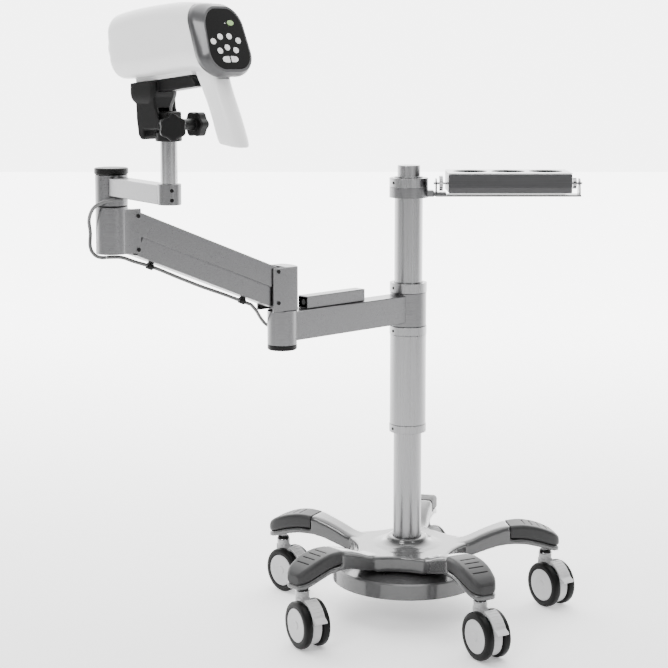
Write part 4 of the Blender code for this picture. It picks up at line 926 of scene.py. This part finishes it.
SOCKET_BASE = 1.0862
SOCKET_BLOCK_TOP = 1.138
BLOCK_HALF = 0.0185
CHEEK_FACE = BLOCK_HALF + 0.0005
CRADLE_HALF = 0.0265
TILT_BOLT = 0.0045
SWIVEL_BOLT = 0.0028
BOLT_END = 0.0165    # the tilt bolt stops here, short of the post
FOOT_BASE = -0.063    # underside of the camera's foot, in the head's frame


def head_frame():
    return place(POST + Vector((0, 0, HEAD_CENTRE_Z)), HEAD_HEADING, HEAD_TILT)


def lobed_knob(radius, low, high, lobes=6):
    """A star knob standing on XY, its grip a smooth lobed outline."""
    rim = []
    for k in range(16 * lobes):
        angle = 2 * pi * k / (16 * lobes)
        r = radius * (0.93 + 0.07 * cos(lobes * angle))
        rim.append((r * cos(angle), r * sin(angle)))
    return outline_plate(rim, low, high, 0.002)


def upright_plate(points, low_y, high_y, bevel=0.0):
    """An outline in X and Z, extruded in Y."""
    mesh = outline_plate([(x, -z) for x, z in points], -high_y, -low_y, bevel)
    return moved(mesh, Matrix.Rotation(-pi / 2, 4, "X") @ Matrix.Diagonal((1, 1, -1, 1)))


def build_post_socket():
    """The fixed half of the tilt hinge: it slips over the post and carries one pivot stub."""
    axis_x, axis_z = TILT_AXIS_X, TILT_AXIS_Z
    block_height = 0.036
    block = box((0.034, 2 * BLOCK_HALF, block_height),
                (axis_x + 0.004, 0, SOCKET_BLOCK_TOP - block_height / 2), 0.002)
    screw_hole = cylinder(SWIVEL_BOLT + GAP, 0.01, 0.05, axis="X", at=(0, 0, SWIVEL_SCREW_Z))
    turn = Matrix.Rotation(radians(SWIVEL_KNOB_HEADING - HEAD_HEADING), 4, "Z")
    steps = [
        join(cylinder(0.0235, SOCKET_BASE, 1.103, 0.0015)),
        join(cylinder(TILT_BOLT, BLOCK_HALF - 0.002, CRADLE_HALF, axis="Y", at=(axis_x, 0, axis_z))),
        cut(cylinder(POST_RADIUS + 0.0004, SOCKET_BASE - 0.01, POST_TOP + 0.0005)),
        cut(cylinder(TILT_BOLT + GAP, -0.05, -BOLT_END, axis="Y", at=(axis_x, 0, axis_z))),
        cut(moved(screw_hole, turn)),
    ]
    combine("post_socket", block, steps, place(POST, HEAD_HEADING), "black_plastic")


def build_cradle():
    """The moving half: two cheeks, a solid front and the plate under the camera's foot."""
    here = place(POST, HEAD_HEADING)
    axis_x, axis_z = TILT_AXIS_X, TILT_AXIS_Z
    back = [(axis_x + 0.0105 * cos(a), axis_z + 0.0105 * sin(a))
            for a in (radians(d) for d in (90, 120, 150, 180, 210, 240))]
    side = back + [(0.002, 1.1075), (0.0345, 1.106), (0.035, 1.094), (0.038, 1.0885), (0.044, 1.0895),
                   (0.0495, 1.096), (0.054, 1.123), (0.056, 1.165), (0.008, 1.165), (0.006, 1.144)]
    cheeks = upright_plate(side, -CRADLE_HALF, CRADLE_HALF, 0.002)
    slot = box((0.064, 2 * CHEEK_FACE, 0.064), (0.001, 0, 1.112))
    flange = loft([[(0.038 + u, v, z) for u, v in rounded_section(w, d, 0.008, 2)]
                   for z, w, d in ((1.148, 0.017, 0.025), (1.162, 0.03, 0.029), (1.19, 0.031, 0.029))])
    into_head = here.inverted() @ head_frame()
    under = FOOT_BASE - GAP
    arm_line = [(0.072, under), (0.072, under - 0.018), (0.0, -0.085), (-0.076, -0.084),
                (-0.072, -0.073), (-0.068, -0.067), (-0.062, under)]
    arm = moved(upright_plate(arm_line, -0.018, 0.018, 0.0015), into_head)
    steps = [cut(slot), join(flange), join(arm),
             cut(moved(box((0.3, 0.2, 0.06), (0, 0, under + 0.03)), into_head)),
             cut(cylinder(TILT_BOLT + GAP, -0.05, 0.05, axis="Y", at=(axis_x, 0, axis_z)))]
    to_axis = Matrix.Translation((-axis_x, 0, -axis_z))
    steps = [(operation, moved(mesh, to_axis)) for operation, mesh in steps]
    combine("tilt_cradle", moved(cheeks, to_axis), steps, here @ to_axis.inverted(), "black_plastic")


def build_mount_knobs():
    at_axis = place(POST, HEAD_HEADING) @ Matrix.Translation((TILT_AXIS_X, 0, TILT_AXIS_Z))
    to_minus_y = Matrix.Rotation(pi / 2, 4, "X")
    grip = moved(lobed_knob(0.0235, 0.057, 0.077), to_minus_y)
    steps = [join(moved(cylinder(0.01, CRADLE_HALF + GAP, 0.058), to_minus_y)),
             join(moved(cylinder(TILT_BOLT, BOLT_END + GAP, 0.058), to_minus_y))]
    combine("tilt_knob", grip, steps, at_axis, "black_plastic")

    to_plus_x = Matrix.Rotation(pi / 2, 4, "Y")
    grip = moved(lobed_knob(0.024, 0.034, 0.052), to_plus_x)
    steps = [join(moved(cylinder(0.008, 0.0265, 0.035), to_plus_x)),
             join(moved(cylinder(SWIVEL_BOLT, POST_RADIUS + 0.0009, 0.035), to_plus_x))]
    combine("swivel_knob", grip, steps, place(POST + Vector((0, 0, SWIVEL_SCREW_Z)), SWIVEL_KNOB_HEADING),
            "black_plastic")

# ---- camera head

# along the body, lens end first: distance, half width, low, high, corner radius
BODY_STATIONS = (
    (0.099, 0.044, -0.044, 0.048, 0.03), (0.096, 0.0495, -0.05, 0.0535, 0.032),
    (0.085, 0.053, -0.0545, 0.059, 0.031), (0.045, 0.0545, -0.0555, 0.062, 0.03),
    (-0.01, 0.055, -0.056, 0.0625, 0.03), (-0.06, 0.055, -0.0565, 0.0605, 0.031),
    (-0.09, 0.055, -0.06, 0.057, 0.034),
)
BODY_WALL = 0.003
SEAM_X = -0.111    # shell to bezel, at mid height
BEZEL_LEAN = 11.0    # the rear face leans forward at the top
SEAM_SECTION = (0.055, -0.072, 0.0535, 0.037)    # half width, low, high, corner radius
BEZEL_STATIONS = (    # behind the seam, then the same four values
    (GAP, *SEAM_SECTION), (0.01, 0.0565, -0.0765, 0.0535, 0.039),
    (0.02, 0.0535, -0.0745, 0.051, 0.038), (0.0285, 0.049, -0.069, 0.046, 0.035),
)
PANEL_FACE = 0.0287    # behind the seam
PANEL_SECTION = (0.0452, -0.0642, 0.0417, 0.032)
GRIP_STATIONS = (    # down the pistol grip: x, z, half length, half width
    (-0.096, -0.04, 0.033, 0.024), (-0.102, -0.07, 0.03, 0.0225), (-0.112, -0.1, 0.028, 0.0212),
    (-0.125, -0.14, 0.0275, 0.021), (-0.1345, -0.18, 0.028, 0.021), (-0.136, -0.1895, 0.0255, 0.0185),
)


def body_section(x, half_width, low, high, radius, inset=0.0):
    mid, half = (low + high) / 2, (high - low) / 2 - inset
    return [(x, u, mid + v) for u, v in rounded_section(half_width - inset, half, radius - inset, 3)]


def rear_section(offset, half_width, low, high, radius, inset=0.0):
    """A section of the leaning rear, behind the seam, drawn in a little towards its top."""
    lean = radians(BEZEL_LEAN)
    narrowing = 0.1 * min(1.0, max(0.0, offset) / 0.02)
    mid, half = (low + high) / 2, (high - low) / 2
    return [(SEAM_X - offset + v * sin(lean), u * (1 - narrowing * (v - mid) / half),
             v * cos(lean)) for _, u, v in body_section(0, half_width, low, high, radius, inset)]


def build_shell():
    shell = loft([body_section(*s) for s in BODY_STATIONS] + [rear_section(0, *SEAM_SECTION)])
    inside = [body_section(*s, inset=BODY_WALL) for s in BODY_STATIONS[1:]]
    inside.append(rear_section(0.01, *SEAM_SECTION, inset=BODY_WALL))
    grip = [[(x + u * 0.97, v, z + u * 0.26) for u, v in rounded_section(a, b, min(a, b) * 0.93, 3)]
            for x, z, a, b in GRIP_STATIONS]
    behind_seam = (0.059, -0.0778, 0.06, 0.039)
    foot = box((0.138, 0.036, 0.0085), (0.001, 0, FOOT_BASE + 0.00425), 0.001)
    steps = [join(loft(grip)),
             cut(loft([rear_section(0, *behind_seam), rear_section(0.06, *behind_seam)])),
             join(foot),
             cut(loft(inside)),
             cut(cylinder(0.029, 0.05, 0.12, axis="X"))]
    combine("head_shell", shell, steps, head_frame(), "white_plastic")


def build_rear():
    here = head_frame()
    wall = 0.004
    floor = 0.0235
    hollow = loft([rear_section(-0.01, *SEAM_SECTION, inset=wall),
                   rear_section(floor, *BEZEL_STATIONS[2][1:], inset=wall)])
    panel_floor = 0.027
    half_width, low, high, radius = PANEL_SECTION
    around = (half_width + GAP, low - GAP, high + GAP, radius + GAP)
    recess = loft([rear_section(panel_floor, *around), rear_section(0.04, *around)])
    combine("rear_bezel", loft([rear_section(*s) for s in BEZEL_STATIONS]),
            [cut(hollow), cut(recess)], here, "bezel_grey")
    panel = loft([rear_section(panel_floor + GAP, *PANEL_SECTION), rear_section(PANEL_FACE, *PANEL_SECTION)])
    add("keypad_panel", panel, here, "black_gloss")


def build_optics():
    here = head_frame()
    front = turned([(0.026, 0.012), (0.037, 0.012), (0.04, 0.009), (0.04, 0.0006), (0.0283, 0.0006),
                    (0.0283, -0.012), (0.026, -0.012), (0.026, 0.012)])
    into_lens = Matrix.Translation((BODY_STATIONS[0][0], 0, 0)) @ Matrix.Rotation(pi / 2, 4, "Y")
    add("front_ring", moved(front, into_lens), here, "bezel_grey")
    lens = turned([(0, 0.0085), (0.012, 0.0075), (0.02, 0.005), (0.0256, 0.0015), (0.0256, -0.006),
                   (0, -0.006)])
    add("lens", moved(lens, into_lens), here, "lens_glass")
    camera = box((0.08, 0.056, 0.06), (0.015, 0, 0), 0.003)
    barrel = cylinder(0.0245, 0.045, 0.09, axis="X")
    combine("camera_module", camera, [join(barrel)], here, "black_plastic")

# ---- camera cable

def along_spring_arm(distance, z, side=0.0):
    """A point of the stand's frame beside the spring arm, at a distance from the elbow axis."""
    return ELBOW + polar(SPRING_ARM_ANGLE, distance) + polar(SPRING_ARM_ANGLE + 90, side, z)


def build_cables():
    head_turn = Matrix.Rotation(radians(HEAD_HEADING), 3, "Z")
    cable("cable_camera", [POST + head_turn @ Vector(p) for p in (
        (-0.024, 0.006, 1.174), (-0.0235, 0.006, 1.169), (-0.02, 0.006, 1.16),
        (-0.013, 0.005, 1.15), (-0.01, 0.004, 1.144), (-0.01, 0.004, 1.1392))], 0.0025)
    cable("cable_tip_loop", [
        (-0.556, -0.538, 0.9705), (-0.57, -0.548, 0.9695), (-0.59, -0.547, 0.965),
        (-0.61, -0.534, 0.953), (-0.622, -0.512, 0.93), (-0.623, -0.493, 0.902),
        *(along_spring_arm(*p) for p in (
            (0.43, 0.88, -0.03), (0.427, 0.8665, -0.028), (0.421, 0.858, -0.021),
            (0.414, 0.8556, -0.014), (0.407, 0.8555, -0.012)))])
    cable("cable_arm_run", [along_spring_arm(*p) for p in (
        (0.4056, 0.8555, -0.0118), (0.398, 0.8555, -0.0098), (0.375, 0.8535, -0.006), (0.35, 0.844, -0.002),
        (0.309, 0.83, 0), (0.25, 0.8045, 0), (0.2, 0.7835, 0), (0.15, 0.7645, 0),
        (0.12, 0.7525, 0), (0.09, 0.7402, 0), (0.085, 0.7382, 0))])
    beam_back = polar(LOWER_ARM_ANGLE, 0.322) + polar(LOWER_ARM_ANGLE - 90, 0.0259)
    outward = polar(LOWER_ARM_ANGLE - 90, 1.0)
    cable("cable_elbow_loop", [
        along_spring_arm(0.0842, 0.7378), along_spring_arm(0.078, 0.735), (-0.321, -0.28, 0.72),
        (-0.313, -0.252, 0.7), (-0.303, -0.226, 0.683), (-0.286, -0.201, 0.672),
        beam_back + 0.008 * outward + Vector((0, 0, 0.6672)), beam_back + Vector((0, 0, 0.667))])

# ---- small fittings

NODE_BODY = {node: body for body, nodes in frame["record"]["behaviour"]["bodies"].items() for node in nodes}
FITTINGS = []


def fitting(name, mesh, matrix, material, body, soft=0.0):
    """A small piece shown on a body, with no node of its own."""
    piece = add(name, mesh, matrix, material)
    del PIECES[name]
    if soft:
        soften(piece, soft, harden=False)
    FITTINGS.append((piece, body))


def screw_dot(name, point, heading, body, radius=0.0032, depth=0.0012):
    """A socket screw set in a face that looks along heading."""
    at = place(point, heading) @ Matrix.Rotation(pi / 2, 4, "Y")
    mesh = turned([(0, 0.0004), (radius * 0.45, 0.0004), (radius * 0.5, 0.0007), (radius * 0.9, 0.0007),
                   (radius, 0.0004), (radius, -depth), (0, -depth)])
    fitting(name, mesh, at, "screw_black", body)


# keys on the rear panel: across to the right as seen from behind, and up, from the body's middle line
KEY_SPOTS = ((-0.0345, -0.016), (-0.016, -0.0077), (0.0059, -0.0069), (0.0257, -0.0144),
             (-0.0232, -0.0323), (-0.0045, -0.0265), (0.0151, -0.0312))
POWER_KEY = (0.0163, 0.0166)
HALF_KEYS = ((-0.0132, -0.0472), (0.0072, -0.0469))
STATUS_DOT = (0.0027, 0.0159)


def panel_matrix():
    lean = radians(BEZEL_LEAN)
    across, up = Vector((0, -1, 0)), Vector((sin(lean), 0, cos(lean)))
    outward = across.cross(up)
    turn = Matrix((across, up, outward)).transposed().to_4x4()
    return head_frame() @ Matrix.Translation((SEAM_X - PANEL_FACE, 0, 0)) @ turn


def key(name, across, up, half_width, half_height, material, square_side=0):
    """A raised key on the panel; square_side -1 or +1 squares off its left or right end."""
    outline = []
    for k in range(48):
        angle = 2 * pi * k / 48
        x, y = half_width * cos(angle), half_height * sin(angle)
        if square_side and x * square_side > 0:
            x = square_side * half_width * min(1.0, abs(cos(angle)) * 3)
            y = half_height * max(-1.0, min(1.0, 1.35 * sin(angle)))
        outline.append((across + x, up + y))
    fitting(name, outline_plate(outline, -0.0003, 0.0009), panel_matrix(), material, "head", 0.0004)


def build_fittings():
    for number, (across, up) in enumerate(KEY_SPOTS):
        key(f"key_{number}", across, up, 0.0062, 0.0052, "key_white")
    key("power_key", *POWER_KEY, 0.0078, 0.0046, "key_green")
    key("left_half_key", *HALF_KEYS[0], 0.0082, 0.0052, "key_white", 1)
    key("right_half_key", *HALF_KEYS[1], 0.0082, 0.0052, "key_white", -1)
    key("status_dot", *STATUS_DOT, 0.0009, 0.0009, "key_white")

    for name, radius, z, headings, body in (
            ("base_collar_screw", COLLAR_RADIUS, SLEEVE_BASE + 0.009, (-146,), "stand"),
            ("support_collar_screw", COLLAR_RADIUS, 0.6345, (-146,), "stand"),
            ("stop_collar_screw", COLLAR_RADIUS, 0.7295, (-146,), "stand"),
            ("clamp_screw", CLAMP_RADIUS, 0.96, (-144, -38), "stand")):
        for heading in headings:
            screw_dot(f"{name}_{heading}", polar(heading, radius, z), heading, body)
    for z in (0.984, 1.001):
        screw_dot(f"post_screw_{round(z * 1000)}", POST + polar(-72, 0.021, z), -72, "short_arm", 0.0034)

    for number, (angle, heading) in enumerate(zip(LEG_ANGLES, CASTER_HEADINGS), 1):
        stem = polar(angle, CASTER_RADIUS)
        here = place(stem, heading - 90)
        fitting(f"stem_collar_{number}", turned([(STEM_RADIUS, 0.1225), (0.012, 0.1225), (0.0132, 0.1205),
                (0.0132, 0.1172), (STEM_RADIUS, 0.1172), (STEM_RADIUS, 0.1225)]), here, "black_plastic",
                f"caster_{number}")
        fitting(f"stem_ring_{number}", turned([(STEM_RADIUS, 0.1168), (0.015, 0.1168), (0.0155, 0.116),
                (0.0155, 0.1148), (STEM_RADIUS, 0.1148), (STEM_RADIUS, 0.1168)]), here, "steel",
                f"caster_{number}")
        for step in range(6):
            angle = radians(33 + 8 * step)
            spot = Vector((CASTER_TRAIL, 0, WHEEL_RADIUS)) + PEDAL_OUTER * Vector((cos(angle), 0, sin(angle)))
            ridge = cylinder(0.0009, -0.0125, 0.0125, axis="Y", at=spot)
            fitting(f"pedal_ridge_{number}_{step}", ridge, here, "caster_plastic", f"pedal_{number}")
        at_axle = here @ Matrix.Translation((CASTER_TRAIL, 0, WHEEL_RADIUS))
        for side in (-1, 1):
            face = CASTER_WIDTH / 2
            disc = turned([(0, face - 0.0002), (0.008, face - 0.0002), (0.0092, face - 0.001),
                           (0.01, face - 0.0016), (0.024, face - 0.0014), (0.0335, face - 0.0006),
                           (0.0352, face - 0.001), (0.0352, face - 0.0034), (0, face - 0.0034)])
            disc = moved(disc, Matrix.Rotation(-side * pi / 2, 4, "X"))
            fitting(f"hub_{number}_{side}", disc, at_axle, "caster_plastic", f"wheels_{number}")

    for side in (-90, 90):
        heading = SPRING_ARM_ANGLE + side
        for z in (LOWER_PIVOT_Z, UPPER_PIVOT_Z):
            out = polar(heading, CHEEK_OUTER + 0.0012)
            near = ELBOW + polar(SPRING_ARM_ANGLE, ELBOW_PIVOT, z) + out
            far = ELBOW + polar(SPRING_ARM_ANGLE, ELBOW_PIVOT + LINK_SPAN, z + LINK_RISE) + out
            screw_dot(f"elbow_pin_{side}_{z}", near, heading, "elbow", 0.004)
            screw_dot(f"tip_pin_{side}_{z}", far, heading, "knuckle", 0.004)

    slope = -degrees(SLOPE)
    clip = ring(CABLE_RADIUS + 0.0028, CABLE_RADIUS * 0.9, -0.006, 0.006)
    clip = moved(clip, Matrix.Rotation(pi / 2, 4, "Y"))
    for number, (distance, z) in enumerate(((0.317, 0.8325), (0.101, 0.7453)), 1):
        at = along_spring_arm(distance, z)
        fitting(f"cable_clip_{number}", clip.copy(), place(at, SPRING_ARM_ANGLE, slope), "black_plastic",
                "lower_link")
        lug = box((0.008, 0.01, 0.009), (0, 0, 0.006), 0.001)
        fitting(f"cable_clip_lug_{number}", lug, place(at, SPRING_ARM_ANGLE, slope), "black_plastic",
                "lower_link")

    here = place(TIP)
    fitting("tip_ring", ring(BARREL_RADIUS - 0.0006, 0.013, KNUCKLE_TOP + 0.0002, SHORT_BASE - 0.0002), here,
            "black_plastic", "knuckle")
    low, high = TRAY_BASE + 0.001, TRAY_BASE + 0.012
    front = box((TRAY_LENGTH - 0.002, 0.0006, high - low), (TRAY_CENTRE_X, -TRAY_DEPTH / 2 - 0.0001,
                                                            (low + high) / 2))
    fitting("tray_band", front, place(), "bezel_grey", "tray")
    for k in (-1, 0, 1):
        lining = ring(CUP_RADIUS - 0.0001, CUP_RADIUS - 0.001, TRAY_BASE + 0.003, TRAY_TOP - 0.0008)
        at_cup = place((TRAY_CENTRE_X + k * CUP_PITCH, 0, 0))
        fitting(f"cup_lining_{k}", lining, at_cup, "black_plastic", "tray")

    arm = place((0, 0, 0), LOWER_ARM_ANGLE)
    end = cylinder(0.006, -0.0012, 0.0018, 0.0006, axis="X", at=(0.31, 0.004, 0.7275))
    fitting("junction_plug", end, arm, "black_plastic", "lower_arm")
    stop = box((0.012, 0.004, 0.02), (0.322, -0.0255, 0.676), 0.001)
    fitting("cable_gland", stop, arm, "black_plastic", "lower_arm", 0.0006)

# ---- the object

build_base()
for caster, (leg_angle, heading) in enumerate(zip(LEG_ANGLES, CASTER_HEADINGS), 1):
    build_caster(caster, leg_angle, heading)
build_column()
build_tray()
build_lower_arm()
build_links()
build_elbow_bracket()
build_tip_knuckle()
build_short_arm()
build_post_socket()
build_cradle()
build_mount_knobs()
build_shell()
build_rear()
build_optics()
build_cables()

for name, cell, rounds in (
        ("base_star", 0.0022, 14), ("head_shell", 0.001, 4), ("tilt_cradle", 0.0008, 3),
        ("post_socket", 0.0008, 3), ("tilt_knob", 0.0006, 3), ("swivel_knob", 0.0006, 3),
        *((f"footrest_pad_{k}", 0.0008, 3) for k in range(1, 6)),
        *((f"caster_{k}_fork", 0.0008, 3) for k in range(1, 6)),
        *((f"caster_{k}_brake", 0.0006, 3) for k in range(1, 6))):
    cast(name, cell, rounds)
for name, width in (("elbow_bracket", 0.0028), ("tip_knuckle", 0.0018), ("lower_arm", 0.0018),
                    ("short_arm", 0.0014), ("tray_lid", 0.0012), ("rear_bezel", 0.0014)):
    soften(PIECES[name], width, 4)
for name in ("junction_box", "upper_link", "lower_link", "tray_bracket", "tray_box", "keypad_panel",
             "elbow_end_cap", "short_arm_cap", "column_spigot", "spacer_sleeve", "sleeve_base_collar",
             "arm_support_collar", "arm_stop_collar", "top_clamp_collar", "tray_swing_ring", "front_ring"):
    soften(PIECES[name])
build_fittings()

BENDS = {"cable_camera": ("mount", "head", (0, 0, 1.14), (0, 0, 1.17)),
         "cable_tip_loop": ("knuckle", "short_arm", (-0.491, -0.252, 0.88), (-0.45, -0.3, 0.965)),
         "cable_elbow_loop": ("lower_arm", "elbow", (-0.13, 0.04, 0.667), (-0.2, -0.05, 0.735))}

for piece in bpy.context.scene.objects:
    finishes = piece.data.materials if piece.name.endswith("_look") else ()
    if finishes and finishes[0].name not in GRAINED:
        piece.data.transform(piece.matrix_world)
        piece.matrix_world = Matrix()

for name, piece in PIECES.items():
    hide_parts(name)
    if name in BENDS:
        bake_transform(piece)
    else:
        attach(piece, NODE_BODY[name])
for piece, body in FITTINGS:
    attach(piece, body)

# ---- studio

scene = bpy.context.scene


def rising(tree, value, start, end, low, high):
    """A smooth step from low to high as a value goes from start to end."""
    step = add_node(tree, "MapRange", Value=value, From_Min=start, From_Max=end, To_Min=low, To_Max=high)
    step.interpolation_type = "SMOOTHSTEP"
    return step.outputs["Result"]


FLOOR_HALF = 14
floor_mesh = bpy.data.meshes.new("floor")
floor_mesh.from_pydata([(x * FLOOR_HALF, y * FLOOR_HALF, 0) for x, y in ((-1, -1), (1, -1), (1, 1), (-1, 1))],
                       [], [(0, 1, 2, 3)])
# the floor: plain white paint, plus a painted glow that rises towards the back
floor_paint_and_glow = bpy.data.materials.new("floor")
floor_paint_and_glow.use_nodes = True
floor_mesh.materials.append(floor_paint_and_glow)
paint = floor_paint_and_glow.node_tree
spot_on_floor = add_node(paint, "SeparateXYZ", Vector=add_node(paint, "TexCoord").outputs["Object"])
# The base colour is the floor's own white. The emission is painted light: a glow that rises from almost none
# in front of the stand to strong far behind it, so the floor blends into the bright backdrop.
feed(paint, paint.nodes["Principled BSDF"], Base_Color=(0.93, 0.93, 0.93, 1), Roughness=0.9,
     Emission_Color=(1, 1, 1, 1),
     Emission_Strength=rising(paint, spot_on_floor.outputs["Y"], -0.8, 4.5, 0.0, 4.75))
floor = bpy.data.objects.new("floor", floor_mesh)
floor.location.z = -0.0002
scene.collection.objects.link(floor)

world = bpy.data.worlds.new("studio")
world.use_nodes = True
sky = world.node_tree
axes = add_node(sky, "SeparateXYZ", Vector=add_node(sky, "TexCoord").outputs["Generated"])
total = add_node(sky, "Math")
total.operation = "ADD"
sky.links.new(rising(sky, axes.outputs["Y"], -0.1, 0.85, 0.18, 5.6), total.inputs[0])
sky.links.new(rising(sky, axes.outputs["Z"], 0.25, 1.0, 0.0, 1.0), total.inputs[1])
feed(sky, sky.nodes["Background"], Color=(1, 1, 1, 1), Strength=total.outputs["Value"])
scene.world = world

for name, location, target_z, size, power in (
        ("key_light", (-1.8, -2.6, 2.6), 0.8, 1.2, 75), ("fill_light", (1.9, -2.8, 1.6), 0.7, 0.7, 14),
        ("top_light", (0.2, -0.2, 3.6), 0.2, 2.4, 60)):
    lamp = bpy.data.lights.new(name, "AREA")
    lamp.shape, lamp.size, lamp.energy = "SQUARE", size, power
    piece = bpy.data.objects.new(name, lamp)
    piece.location = location
    to_lamp = piece.location - Vector((0, 0, target_z))
    piece.rotation_euler = to_lamp.to_track_quat("Z", "Y").to_euler()
    scene.collection.objects.link(piece)

lens_data = bpy.data.cameras.new("camera")
camera = bpy.data.objects.new("camera", lens_data)
scene.collection.objects.link(camera)
camera.location = (-0.03904, -3.30327, 1.23543)
look_down = 6.5
camera.rotation_euler = (radians(90 - look_down), 0, 0)
lens_data.sensor_width, lens_data.lens, lens_data.shift_y = 36, 87.75, -0.1398
scene.camera = camera
